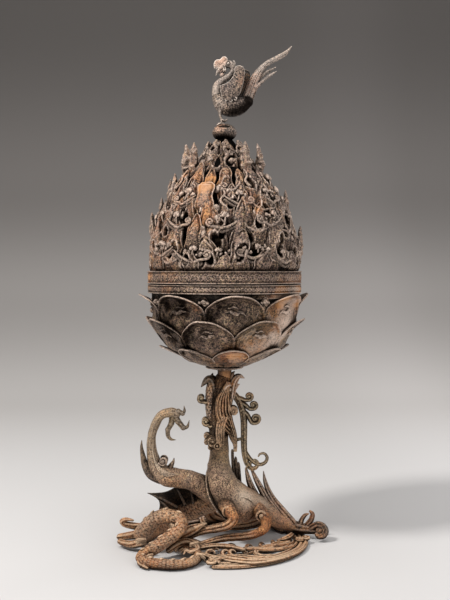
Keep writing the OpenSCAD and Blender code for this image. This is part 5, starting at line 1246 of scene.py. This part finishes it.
def fin():
    """Webbed fin behind the raised leg: ribs with skin drawn between them."""
    b = Build()
    root = smooth2([[-30, 48], [-42, 47], [-56, 44], [-68, 39], [-80, 34]], 6)
    tips = np.array([[-31, 63], [-44, 71], [-62, 67], [-97, 59], [-83, 50], [-84, 34]], float)
    n = 41
    rt = np.stack([np.interp(np.linspace(0, 1, n), np.linspace(0, 1, len(root)), root[:, k]) for k in (0, 1)], -1)
    tt = np.linspace(0, len(tips) - 1, n)
    ti = np.stack([np.interp(tt, np.arange(len(tips)), tips[:, k]) for k in (0, 1)], -1)
    sag = np.abs(np.sin(tt * math.pi))
    nv = 12
    v = np.linspace(0, 1, nv)
    G = rt[None, :, :] * (1 - v[:, None, None]) + ti[None, :, :] * v[:, None, None] * 1.0
    pull = (0.16 * sag)[None, :] * v[:, None] ** 2
    G = G * (1 - pull[..., None]) + rt[None, :, :] * pull[..., None]
    y = 12.5 + 1.6 * sag[None, :] * v[:, None]
    F = np.stack([G[..., 0], y - 1.1, G[..., 1]], -1)[:, ::-1]
    Bk = np.stack([G[..., 0], y + 0.9, G[..., 1]], -1)[:, ::-1]
    b.put(shell(F, Bk), -0.6)
    for i, t in enumerate(tips):
        r0 = rt[int(round(i * (n - 1) / (len(tips) - 1)))]
        b.put(tube([[r0[0], 12.4, r0[1], 2.0], [0.5 * (r0[0] + t[0]), 12.2, 0.5 * (r0[1] + t[1]) + 1, 1.5], [t[0], 12.4, t[1], 0.6]], 8, 12, step=1.0), 0.05)
    b.obj("tail_fin_web", DARK, "stand", ("tail_fin",), "patina_dark")
    # strands that rise behind the haunch
    b = Build()
    for pts in ([[60, 10, 30, 5.5], [47, 8, 46, 5.2], [37, 7, 62, 4.6], [31, 6, 76, 3.8], [27, 5, 92, 1.6]],
                [[72, 12, 25, 5.5], [62, 9, 40, 5.2], [53, 8, 53, 4.8], [46, 7, 66, 4.2], [40, 6, 78, 3.4], [34, 5, 91, 1.6]],
                [[86, 15, 21, 5.5], [73, 12, 37, 5], [62, 10, 51, 4.4], [55, 9, 64, 3.6], [51, 8, 76, 2.6], [49, 8, 88, 0.5]]):
        b.put(tube(pts, 12, 30, 1.1, fn=lobes(5, 0.26), step=0.8), 0.12)
    for x, z0, z1 in ((10, 74, 113), (14.4, 70, 103.5), (18, 66, 96.5)):
        b.put(tube([[x + 5, 14, z0 - 16, 2.6], [x + 2, 18, z0, 2.4], [x + 0.8, 19, 0.5 * (z0 + z1), 2.2], [x, 19.5, z1 - 3, 1.8], [x - 0.3, 19.6, z1, 0.8]], 10, 12, step=1.0), -0.35)
    b.obj("back_flames_strands", BROWN, "stand", ("back_flames",), "patina_brown")
    b = Build()
    b.put(tube([[76, 17, 19, 9], [94, 18, 13, 7.6], [106, 15, 12, 6.4], [114, 12, 12, 5.6]], 10, 36, fn=lobes(7, 0.24, 0.01), step=0.8), 0.2)
    b.put(tube([[104, 16, 16, 4], [110, 18, 23, 3.6], [112, 19, 30, 3.0], [109, 19, 34, 1.6]], 10, 20, fn=lobes(4, 0.2), step=0.8), 0.1)
    b.put(tube([[110, 12, 15, 4.2], [117, 9, 20, 4.0], [124, 6, 19, 3.8], [127, 2, 14, 3.6], [124, -1, 9, 3.4], [118, -1, 7.5, 3.0], [115, 0, 10.5, 2.0]], 8, 20, 1.2, fn=lobes(4, 0.18), step=0.8), 0.1)
    b.put(ball((119.5, 4, 13), (5.4, 4.4, 5.0), 20), -0.3)
    b.put(tube([[96, 18, 17, 3.8], [99, 20, 24, 3.0], [103, 20, 29, 2.4], [107, 18, 31, 0.8]], 10, 16, fn=lobes(4, 0.2), step=0.8), 0.1)
    b.obj("right_scroll_lobes", DARK, "stand", ("right_scroll",), "patina_dark")
    b = Build()
    for pts in ([[-92, 0, 14, 7], [-108, 0, 10, 6], [-120, 0, 8, 5.2], [-131, -1, 7, 4.2]],
                [[-94, 8, 17, 6], [-105, 11, 16, 5], [-117, 13, 17, 4.6], [-127, 13, 19.5, 4], [-129.5, 12, 23.5, 3.2], [-124, 11, 26, 2.6], [-116, 10, 25, 1.6]],
                [[-100, -38, 12, 6], [-112, -35, 8, 5], [-122, -27, 7, 4.2], [-129, -19, 7, 3.2]],
                [[-94, -82, 7, 5], [-97, -92, 5.4, 4], [-92, -101, 4, 2.6], [-87, -106, 3, 1.2]]):
        b.put(tube(pts, 10, 24, fn=lobes(5, 0.24, 0.02), step=0.8), 0.35)
    b.obj("left_scroll_strands", RUSTY, "stand", ("left_scrolls",), "patina_rust")


fin()


# ------------------------------------------------------------------ openwork foot
def strand(b, a_h, r_h, R, target, a_end, t0=2.2, z0=5.0, wear_and_shading=0.34, lead=0.36, head=True):
    """A wave: a curled head standing at azimuth a_h that sweeps out to the ring and runs along it, drawn out to a point at a_end."""
    f = np.linspace(0, 1, 50)
    a = np.radians(a_h + (a_end - a_h) * f)
    rr = r_h + (target - r_h) * sstep(0, lead, f)
    z = np.interp(f, [0, 0.25, 1], [t0 + 0.6, z0, 3.6])
    r = np.interp(f, [0, 0.10, 0.6, 1.0], [0.9 * t0 if head else 0.3, t0, 0.92 * t0, 0.4 * t0])
    P = np.stack([rr * np.cos(a), rr * np.sin(a), np.maximum(z, r + 0.3), r], -1)
    if head:
        ah = math.radians(a_h)
        e1 = np.array([-math.sin(ah), math.cos(ah), 0])
        e2 = np.array([-0.85 * math.cos(ah), -0.85 * math.sin(ah), 0.5])
        c = P[0, :3] + e2 * R
        g = np.linspace(1, 0, 30)
        th = math.radians(-90) - TAU * 0.70 * g
        rad = R * (1 - 0.40 * g)
        sp = c + rad[:, None] * (np.cos(th)[:, None] * e1 + np.sin(th)[:, None] * e2)
        P = np.concatenate([np.concatenate([sp, np.interp(g, [0, 0.5, 1], [1.1 * t0, 1.25 * t0, 0.3 * t0])[:, None]], 1)[:-1], P])
    b.put(tube(P, 1, 18, fn=lobes(3, 0.16, 0.006), step=0.9), wear_and_shading)


def ring():
    # the ring itself, in front: two curled waves that sweep to its right end
    b = Build()
    for a_h, r_h, R, R0, hd in ((-103, 74, 7.0, 103.4, True), (-99, 70, 5.0, 99.0, False), (-101, 62, 6.4, 94.6, True), (-96, 60, 5.0, 90.4, False), (-88, 66, 5.6, 101.4, True), (-80, 64, 5.2, 96.8, True)):
        strand(b, a_h, r_h, R, R0, -5 + 0.1 * (R0 - 90), 2.3, 6.0, head=hd)
    f = np.radians(np.linspace(-97, -39, 60))
    for rr in (90, 96, 101.5):
        P = np.stack([rr * np.cos(f), rr * np.sin(f), np.full(60, 2.5), np.full(60, 2.5)], -1)
        b.put(tube(P, 1, 18, fn=lobes(3, 0.2), step=1.2), 0.3)
    for s in (-1, 1):   # volutes at the ring's left end
        t = math.radians(-97)
        sp = spiral(0, 0, 7.0, 1.6, math.radians(20), 1.4 * s, 34)
        c = np.array([math.cos(t), math.sin(t)]) * (90.5 + 6.5 * s)
        P = np.stack([c[0] - 2 + sp[:, 0], c[1] + sp[:, 1], np.linspace(5.5, 8.4, 34), np.linspace(2.9, 1.6, 34)], -1)
        b.put(tube(P, 1, 14, fn=lobes(3, 0.18), step=0.9), 0.4)
    b.obj("wave_ring_front_strands", RUSTY, "stand", ("wave_ring_front",), "patina_rust")
    b = Build()
    for a_h, r_h, R, R0, hd in ((-76, 48, 7.0, 87.0, True), (-72, 46, 5.0, 83.4, False), (-52, 57, 6.4, 82.6, True), (-48, 56, 5.0, 79.4, False), (-33, 62, 6.0, 79.0, True), (-18, 70, 5.4, 82.0, True), (-62, 62, 5.4, 90.6, True), (-42, 66, 5.0, 86.2, True)):
        strand(b, a_h, r_h, R, R0, 0 + 0.3 * (R0 - 79), 2.2, 7.6, lead=0.62, head=hd)
    f = np.radians(np.linspace(-37.6, 41.6, 70))
    for rr, r in ((90, 2.8), (95.6, 3.0), (101, 3.0)):
        P = np.stack([rr * np.cos(f), rr * np.sin(f), np.full(70, 3.0), np.full(70, r)], -1)
        b.put(tube(P, 1, 16, fn=lobes(3, 0.18), step=1.2), 0.3)
    for (x, y), R, sgn in (((102, -6), 5.2, 1), (((92), -12), 4.8, -1)):
        sp = spiral(0, 0, R, 1.4, math.radians(90), sgn * 1.4, 30)
        P = np.stack([x + sp[:, 0], y + sp[:, 1], np.linspace(6, 9, 30), np.linspace(2.5, 1.5, 30)], -1)
        b.put(tube(P, 1, 14, fn=lobes(3, 0.18), step=0.9), 0.4)
    b.obj("wave_ring_right_strands", RUSTY, "stand", ("wave_ring_right",), "patina_rust")
    b = Build()
    f = np.radians(np.linspace(42.2, 149.6, 90))
    for rr, r in ((89, 2.8), (94.4, 3.2), (100.4, 3.2)):
        z = 3.2 + (2.2 if rr > 93 and rr < 96 else 0.0)
        P = np.stack([rr * np.cos(f), rr * np.sin(f), np.full(90, z), np.full(90, r)], -1)
        b.put(tube(P, 1, 18, fn=lobes(3, 0.2), step=1.1), 0.32)
    for k in range(4):
        t = math.radians(54 + 27 * k)
        sp = spiral(0, 0, 6.0, 1.4, t, 1.4, 30)
        P = np.stack([88 * math.cos(t) + sp[:, 0], 88 * math.sin(t) + sp[:, 1], np.linspace(5.5, 8.6, 30), np.linspace(2.5, 1.5, 30)], -1)
        b.put(tube(P, 1, 14, fn=lobes(3, 0.18), step=0.9), 0.4)
    b.obj("wave_ring_back_strands", BROWN, "stand", ("wave_ring_back",), "patina_brown")
    # scrolls inside the ring
    b = Build()
    for pts in (np.concatenate([[[78, -20, 5, 4], [64, -34, 5, 4.5]], curl_xy(50, -62, 5, 17, 7, 90, 300, 4.0, 2.6, 18)]),
                np.concatenate([[[76, 36, 5, 4], [66, 52, 5, 4.5]], curl_xy(50, 70, 5, 11, 5, 0, 270, 4.2, 2.6, 18)]),
                np.concatenate([[[-30, 90, 5, 4], [-28, 70, 5, 4.5]], curl_xy(-14, 62, 5, 12, 5, 180, -90, 4.2, 2.6, 18)]),
                np.concatenate([[[-88, 40, 5, 4], [-70, 52, 5, 4.5]], curl_xy(-60, 66, 5, 11, 5, -90, 180, 4.2, 2.6, 18)]),
                np.array([[70, 74, 5, 4], [48, 94, 6, 5], [24, 105, 8, 5], [4, 106.5, 10, 4.4], [-6, 101, 12, 3.4], [-4, 95, 13, 2]], float),
                np.array([[-30, -56, 10, 3.0], [-18, -52, 11, 3.4], [-4, -49, 10.5, 3.4], [10, -50, 9.5, 3.0], [22, -56, 8.5, 2.2]], float),
                np.array([[-26, -70, 7, 2.8], [-20, -76, 7, 3.2], [-12, -80, 6.5, 3.2], [-2, -82, 6, 2.6]], float),
                np.array([[-62, -46, 14, 5.0], [-52, -44, 22, 6.6], [-42, -42, 27, 6.4], [-32, -40, 31, 4.4], [-24, -39, 34, 0.8]], float),
                np.array([[-66, -60, 9, 4.0], [-56, -54, 14, 5.0], [-45, -52, 16, 5.0], [-36, -56, 14, 4.4], [-32, -64, 11, 3.6], [-38, -70, 10, 2.8], [-45, -67, 11, 1.6]], float),
                np.array([[-20, -44, 8, 3.0], [-30, -46, 12, 4.0], [-40, -46, 15, 4.0], [-50, -50, 12, 3.0], [-58, -58, 8, 2.0]], float),
                np.array([[84, 2, 9, 3.0], [80, -10, 10, 3.4], [74, -18, 10, 3.0], [66, -22, 9, 2.0]], float)):
        P = catmull(pts, 5)
        P[:, 2] = np.maximum(P[:, 2], P[:, 3] + 0.4)
        b.put(tube(P, 1, 24, fn=lobes(5, 0.24, 0.01), step=0.9), 0.35)
    b.obj("base_scroll_strands", RUSTY, "stand", ("base_scrolls",), "patina_rust")


ring()


# ------------------------------------------------------------------ finial: pearl and bird
BZ = LID_Z + 176.0


def finial():
    b = Build()
    pz = LID_Z + 161.0
    z = np.linspace(-1.4, 19.2, 44)
    rr = 15.0 * np.sqrt(np.clip(1 - ((z - 9.0) / 11.0) ** 2, 0, 1))
    rr = rr + 0.35 * np.exp(-((z - 9.2) / 0.8) ** 2) - 0.3 * np.exp(-((z - 13.6) / 0.5) ** 2)
    prof = [[2.9, pz - 1.4]] + [[max(a, 3.2), pz + c] for a, c in zip(rr, z)] + [[2.9, pz + 19.2]]
    V, q, t = revolve(prof, 72)
    # painted light and shade on the pearl: dark at the bottom, a light band across the middle, a little darker at the
    # top, the bands tilted a little with x
    b.add(V, q, None, np.interp(V[:, 2] + 0.12 * V[:, 0], [pz, pz + 5.0, pz + 8.5, pz + 13, pz + 17], [-0.8, -0.5, 0.16, 0.10, -0.12]))
    b.put(revolve([[0.2, pz + 17.2], [3.4, pz + 17.2], [3.4, pz + 18.6], [0.2, pz + 18.8]], 24), 0.3)
    a = np.radians(np.linspace(-130, -56, 40))
    # a bar painted black as the shade of the pearl's slit
    b.put(tube(np.stack([12.5 * np.cos(a), 12.5 * np.sin(a), np.full(40, pz + 15.0), 0.3 + 1.3 * np.sin(np.linspace(0, math.pi, 40))], -1), 1, 8), -1.0)
    b.obj("pearl_turned", WORN, "lid", ("pearl",), "worn_bronze")
    # legs
    b = Build()
    for s in (-1, 1):
        b.put(tube([[-5, 4.5 * s, BZ + 24, 3.6], [-5.6, 4.6 * s, BZ + 16, 1.7], [-3.9, 4.5 * s, BZ + 10, 1.15], [-3.4, 4.5 * s, BZ + 4.4, 1.25]], 8, 14, fn=lobes(6, 0.1), step=0.6), 0.3)
        for da in (-0.7, 0.0, 0.7, math.pi):
            dx, dy = -math.cos(da), -math.sin(da) * s
            ln = 6.0 if da < 3 else 3.6
            b.put(tube([[-3.4, 4.5 * s, BZ + 4.6, 1.5], [-3.4 + dx * ln * 0.5, 4.5 * s + dy * ln * 0.5, BZ + 4.4, 1.2], [-3.4 + dx * ln, 4.5 * s + dy * ln, BZ + 2.6, 0.4]], 5, 8), 0.4)
        b.put(tube([[-3.0, 4.5 * s, BZ + 9.5, 1.2], [0.4, 4.7 * s, BZ + 8.4, 0.9], [3.6, 4.8 * s, BZ + 10.2, 0.3]], 5, 8), 0.4)
    b.obj("bird_legs_toes", WORN, "lid", ("bird_legs",), "worn_bronze")
    # body with laid feathers
    b = Build()
    body = [[-9, 0, BZ + 46, 4.5], [-7, 0, BZ + 38, 8.5], [-1, 0, BZ + 29, 11.5], [8, 0, BZ + 25.5, 12], [18, 0, BZ + 27, 11], [28, 0, BZ + 32, 7.5]]
    b.put(tube(body, 10, 52, 0.92, fn=scales(2.8, 0.45), step=0.6), 0.22)
    b.obj("bird_body_feathered", WORN, "lid", ("bird_body",), "worn_bronze")
    # neck and head in one sweep from the breast round to the beak
    b = Build()
    neck = [[-8.6, 0, BZ + 41, 6.8], [-9, 0, BZ + 47, 6.2], [-7.6, 0, BZ + 53, 5.2], [-1, 0, BZ + 59, 4.3], [7, 0, BZ + 64.4, 3.9], [10.8, 0, BZ + 71, 3.9], [7.6, 0, BZ + 77.2, 4.4], [1.6, 0, BZ + 77.4, 4.3], [-2.6, 0, BZ + 74.4, 3.4]]
    b.put(tube(neck, 10, 40, 0.95, fn=lobes(9, 0.03, 0.012), step=0.6), 0.34, 0.3)
    b.put(tube([[-0.6, 0, (BZ - 2.2) + 78.4, 3.6], [-4.6, 0, (BZ - 2.2) + 75.4, 2.8], [-8.2, 0, (BZ - 2.2) + 71.2, 1.9], [-10.6, 0, (BZ - 2.2) + 66.4, 0.4]], 8, 16, 0.8, step=0.6), 0.45)
    b.put(tube([[0.4, 0, (BZ - 2.2) + 75.0, 2.2], [-3.4, 0, (BZ - 2.2) + 72.4, 1.6], [-6.6, 0, (BZ - 2.2) + 68.8, 0.4]], 8, 12, 0.8, step=0.6), 0.2)
    b.put(ball((-2.6, 0, (BZ - 2.2) + 66.8), 3.2, 18), 0.15)
    b.put(tube([[-3.0, 0, (BZ - 2.2) + 64.6, 1.4], [-3.4, 0, (BZ - 2.2) + 61.6, 1.4], [-3.6, 0, (BZ - 2.2) + 59, 1.4]], 5, 8), -0.3)
    for s in (-1, 1):
        b.put(ball((4.6, 3.9 * s, (BZ - 2.2) + 80.6), (1.5, 0.9, 1.5), 12), 0.5)
        b.put(tube(curl_xz(4.6, 4.0 * s, (BZ - 2.2) + 80.6, 2.3, 2.3, 0, 350, 0.55, 0.55, 18), 1, 6), -0.8)
        for k in range(2):   # wattles
            b.put(tube([[-0.6 + 2 * k, 2.4 * s, (BZ - 2.2) + 75.4, 1.0], [-1.0 + 2 * k, 2.8 * s, (BZ - 2.2) + 72.4, 1.2], [-0.8 + 2 * k, 2.8 * s, (BZ - 2.2) + 70.4, 0.5]], 5, 8), 0.2)
    b.put(tube([[9.6, 0, (BZ - 2.2) + 77.6, 2.0], [11.6, 0, (BZ - 2.2) + 80.2, 1.8], [12.0, 0, (BZ - 2.2) + 83.0, 1.2], [10.6, 0, (BZ - 2.2) + 84.6, 0.4]], 6, 10, 0.8), 0.45)
    b.obj("bird_head_neck", WORN, "lid", ("bird_neck_head",), "worn_bronze")
    # comb: a lobed plate with veins
    b = Build()
    base = smooth2([[-10, (BZ - 2.4) + 74], [-6.5, (BZ - 2.4) + 76.2], [-3, (BZ - 2.4) + 78], [0, (BZ - 2.4) + 79.8], [3, (BZ - 2.4) + 81.5]], 8)
    crest = smooth2([[-12, (BZ - 2.4) + 75.5], [-12.6, (BZ - 2.4) + 80], [-11.2, (BZ - 2.4) + 84.0], [-8.4, (BZ - 2.4) + 85.4], [-6, (BZ - 2.4) + 85.4], [-3.6, (BZ - 2.4) + 87.0], [-1.2, (BZ - 2.4) + 89.2], [1.2, (BZ - 2.4) + 88.8], [3.2, (BZ - 2.4) + 86], [3.6, (BZ - 2.4) + 82.4]], 6)
    m = 44
    bs = np.stack([np.interp(np.linspace(0, 1, m), np.linspace(0, 1, len(base)), base[:, k]) for k in (0, 1)], -1)
    cs = np.stack([np.interp(np.linspace(0, 1, m), np.linspace(0, 1, len(crest)), crest[:, k]) for k in (0, 1)], -1)
    v = np.linspace(0, 1, 12)[:, None, None]
    G = bs[None] * (1 - v) + cs[None] * v
    thick = 1.5 - 0.7 * v[..., 0] + 0.22 * np.sin(np.linspace(0, 1, m) * 60)[None, :] * np.sin(math.pi * v[..., 0])
    F = np.stack([G[..., 0], -thick, G[..., 1]], -1)
    Bk = np.stack([G[..., 0], thick, G[..., 1]], -1)
    b.put(shell(F, Bk), 0.3)
    P = np.concatenate([cs, np.zeros((m, 1)), np.full((m, 1), 0.85)], 1)[:, [0, 2, 1, 3]]
    b.put(tube(P, 1, 8, step=0.8), 0.7)
    b.obj("bird_comb", WORN, "lid", ("bird_crest",), "worn_bronze")
    # wings: rows of laid feathers inside a raised rim
    for name, node, s, dx in (("bird_wing_left_feathers", "bird_wing_left", -1, 0.0), ("bird_wing_right_feathers", "bird_wing_right", 1, 3.0)):
        b = Build()
        out = np.array([[-5, 49.5], [-4, 42], [-1.5, 33.5], [5, 30.5], [12, 34], [18.4, 41], [21.9, 52], [23.8, 63], [23.4, 69.6], [16.4, 76.4]], float)
        inn = np.array([[-5, 49.5], [-2, 50.5], [1, 51.6], [4, 53], [6.2, 54.4], [8.4, 57.4], [10.4, 60.0], [12, 63.5], [12.8, 70], [16.4, 76.4]], float)
        if s > 0:   # the far wing is spread a little further back
            out[5:, 0] += [1.5, 3.0, 4.0, 4.0, 2.0]
        oo, ii = smooth2(out, 6), smooth2(inn, 6)
        tip = np.linspace(0, 1, 13)[1:] * math.pi / 2
        cut = len(oo) - 7
        oo = np.concatenate([oo[:cut], np.stack([oo[cut - 1, 0] - (oo[cut - 1, 0] - 17.6) * (1 - np.cos(tip)), oo[cut - 1, 1] + (73.6 - oo[cut - 1, 1]) * np.sin(tip)], -1)])
        cut = len(ii) - 6
        ii = np.concatenate([ii[:cut], np.stack([ii[cut - 1, 0] + (17.6 - ii[cut - 1, 0]) * (1 - np.cos(tip)), ii[cut - 1, 1] + (73.6 - ii[cut - 1, 1]) * np.sin(tip)], -1)])
        n = 60
        f = np.linspace(0, 1, n)
        O = np.stack([np.interp(f, np.linspace(0, 1, len(oo)), oo[:, k]) for k in (0, 1)], -1)
        I = np.stack([np.interp(f, np.linspace(0, 1, len(ii)), ii[:, k]) for k in (0, 1)], -1)
        nv = 26
        v = np.linspace(0, 1, nv)
        G = I[None] * (1 - v[:, None, None]) + O[None] * v[:, None, None]
        row = np.sin(v * math.pi)[:, None]
        fe = 0.30 * np.sin(f * 70)[None, :] * sstep(0.45, 0.75, v)[:, None] * row
        sc = 0.40 * np.abs(np.sin(f * 40 + np.floor(v * 9)[:, None] * 1.6)) * np.mod(v * 9, 1)[:, None] * sstep(0.62, 0.40, v)[:, None] * row
        puff = 1.9 * row * np.sin(math.pi * f) ** 0.6
        yo = 10.0 + 1.2 * np.sin(math.pi * f)[None, :] + puff * 0.8 + fe + sc
        yi = 7.6 + 0.3 * puff
        Xg, Zg = G[..., 0] + dx, G[..., 1] + BZ
        outer = np.stack([Xg, s * yo, Zg], -1)
        inner = np.stack([Xg, s * (yi + 0 * yo), Zg], -1)
        if s < 0:
            F, Bk = outer[:, ::-1], inner[:, ::-1]
        else:
            F, Bk = outer, inner
        b.put(shell(F[::-1], Bk[::-1]), -0.08)
        ed = np.concatenate([O, I[::-1]])
        P = np.stack([ed[:, 0] + dx, np.full(len(ed), s * 9.2), ed[:, 1] + BZ, np.full(len(ed), 0.75)], -1)
        b.put(tube(P, 1, 8, step=0.9), 0.36)
        # small curled feathers at the foot of the wing
        for k, (x, z) in enumerate(((0.5, 34.0), (6.0, 32.6), (11.5, 34.6))):
            b.put(tube(np.concatenate([[[x + 1.5 + dx, s * 9.6, BZ + z + 5, 1.1]], curl_xz(x + 1.4 + dx, s * 10.4, BZ + z - 1.0, 2.2, 0.8, 90, -240, 1.0, 0.6, 14)]), 3, 8, step=0.6), 0.6)
        # the far wing takes the dark material, painted dark as its shaded side
        b.obj(name, WORN if s < 0 else DARK, "lid", (node,), "worn_bronze" if s < 0 else "patina_dark")
    # tail feathers
    b = Build()

    def vane(pts, k=1.0):
        pts = np.array(pts, float)
        b.put(tube(pts, 12, 28, 0.42, fn=lobes(6, 0.05), step=0.7), 0.22, 0.4)
        Q = catmull(pts, 12)
        Q[:, 1] -= Q[:, 3] * 0.42
        Q[:, 3] = np.maximum(0.30, Q[:, 3] * 0.08)
        b.put(tube(Q, 1, 8, step=0.9), 0.3)
        Q = Q.copy()
        Q[:, 1] = -Q[:, 1] + 2 * np.interp(np.linspace(0, 1, len(Q)), np.linspace(0, 1, len(pts)), pts[:, 1])
        b.put(tube(Q, 1, 8, step=0.9), 0.6)
    vane([[22, 0, BZ + 27.4, 6.2], [28.6, 0, BZ + 36, 6.9], [33.6, 0, BZ + 48.6, 6.8], [38.2, 0, BZ + 60, 6.2], [44.6, 0, BZ + 71, 4.2], [53, 0, BZ + 79, 3.4], [66, 0, BZ + 86, 3.2], [75, 0, BZ + 91.4, 2.6], [82.4, 0, BZ + 99.6, 0.5]])
    vane([[35, 1.0, BZ + 52, 4.0], [43, 1.0, BZ + 61.6, 3.0], [52, 1.0, BZ + 68.6, 2.3], [63, 1.0, BZ + 74.4, 0.6]])
    vane([[37, -1.6, BZ + 48, 3.0], [47.0, -2.6, BZ + 56.6, 1.6], [54.6, -4.0, BZ + 62.6, 1.8], [63.4, -5.0, BZ + 68.0, 0.5]])
    b.obj("bird_tail_feathers", WORN, "lid", ("bird_tail",), "worn_bronze")


finial()


# ------------------------------------------------------------------ carried-over solids
# the lid shell takes the near-black painted-shade material, so the dome between the peaks reads as shade
for node, mat in (("lid_shell", SHADE_BLACK), ("bowl_shell", DARK), ("tie_rod", DARK), ("finial_pin", DARK)):
    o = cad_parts[node]
    o.data.materials.clear()
    o.data.materials.append(mat)


# ------------------------------------------------------------------ studio
def studio():
    # seamless sweep: pale floor that turns up into a wall, its colour painted darker upwards as the light falls off
    ys = np.concatenate([np.linspace(-2.6, 1.1, 24), 1.1 + 1.2 * np.sin(np.radians(np.linspace(4, 90, 24))), np.full(10, 2.3)])
    zs = np.concatenate([np.zeros(24), 1.2 - 1.2 * np.cos(np.radians(np.linspace(4, 90, 24))), np.linspace(1.35, 4.0, 10)])
    xs = np.linspace(-4, 4, 9)
    V = [(x, y, z) for y, z in zip(ys, zs) for x in xs]
    n = len(xs)
    Fq = [(j * n + i, j * n + i + 1, (j + 1) * n + i + 1, (j + 1) * n + i) for j in range(len(ys) - 1) for i in range(n - 1)]
    me = bpy.data.meshes.new("studio_sweep")
    me.from_pydata(V, [], Fq)
    me.polygons.foreach_set("use_smooth", np.ones(len(me.polygons), bool))
    o = bpy.data.objects.new("studio_sweep", me)
    bpy.context.scene.collection.objects.link(o)
    m = Nodes("studio_paper")
    co = m.node("ShaderNodeTexCoord").outputs["Object"]
    sep = m.node("ShaderNodeSeparateXYZ")
    m.link(co, sep.inputs[0])
    run = m.math("ADD", sep.outputs["Y"], sep.outputs["Z"])
    mr = m.node("ShaderNodeMapRange")
    mr.inputs["From Min"].default_value = -0.4
    mr.inputs["From Max"].default_value = 3.6
    m.link(run, mr.inputs["Value"])
    cr = m.node("ShaderNodeValToRGB")
    cr.color_ramp.interpolation = "EASE"
    e = cr.color_ramp.elements
    e[0].position, e[0].color = 0.0, (0.648, 0.634, 0.628, 1)
    e[1].position, e[1].color = 1.0, (0.132, 0.123, 0.117, 1)
    for p, c in ((0.18, (0.632, 0.619, 0.612, 1)), (0.40, (0.600, 0.578, 0.561, 1)), (0.62, (0.376, 0.356, 0.343, 1)), (0.80, (0.215, 0.201, 0.192, 1))):
        x = e.new(p)
        x.color = c
    m.link(mr.outputs["Result"], cr.inputs["Fac"])
    # painted light: the paper is made lighter, by up to 13%, to the right of the object
    lift = m.math("MULTIPLY", m.ramp(sep.outputs["X"], 0.15, 0.46), m.math("MULTIPLY_ADD", m.ramp(sep.outputs["X"], 0.50, 0.72), -0.72, 1.0))
    m.link(m.mix(1.0, cr.outputs["Color"], m.mix(lift, (1, 1, 1, 1), (1.13, 1.13, 1.14, 1)), "MULTIPLY"), m.bsdf.inputs["Base Color"])
    m.bsdf.inputs["Roughness"].default_value = 0.9
    m.bsdf.inputs["Specular IOR Level"].default_value = 0.1
    me.materials.append(m.mat)

    def area(name, loc, target, size, power, color=(1, 1, 1), size_y=None):
        d = bpy.data.lights.new(name, "AREA")
        d.energy = power
        d.color = color
        d.size = size
        if size_y:
            d.shape = "RECTANGLE"
            d.size_y = size_y
        ob = bpy.data.objects.new(name, d)
        bpy.context.scene.collection.objects.link(ob)
        ob.location = loc
        v = np.array(target, float) - np.array(loc, float)
        from mathutils import Vector
        ob.rotation_euler = Vector(v).to_track_quat("-Z", "Y").to_euler()
        return ob
    area("key", (-1.23, -0.80, 1.80), (0, 0, 0.28), 0.34, 37, (1.0, 0.98, 0.955))
    area("fill", (1.1, -1.7, 0.9), (0, 0, 0.3), 1.4, 11, (0.98, 0.98, 1.0))
    area("top", (0.1, -0.2, 2.2), (0, 0, 0.3), 1.4, 17, (1.0, 0.99, 0.98))
    area("rim", (1.2, 1.1, 1.1), (0, 0, 0.35), 0.7, 4, (1.0, 0.98, 0.96))
    w = bpy.data.worlds.new("studio")
    bpy.context.scene.world = w
    w.use_nodes = True
    w.node_tree.nodes["Background"].inputs["Color"].default_value = (0.62, 0.615, 0.61, 1)
    w.node_tree.nodes["Background"].inputs["Strength"].default_value = 0.55
    bpy.context.scene.view_settings.view_transform = "Standard"


studio()

bpy.context.view_layer.update()
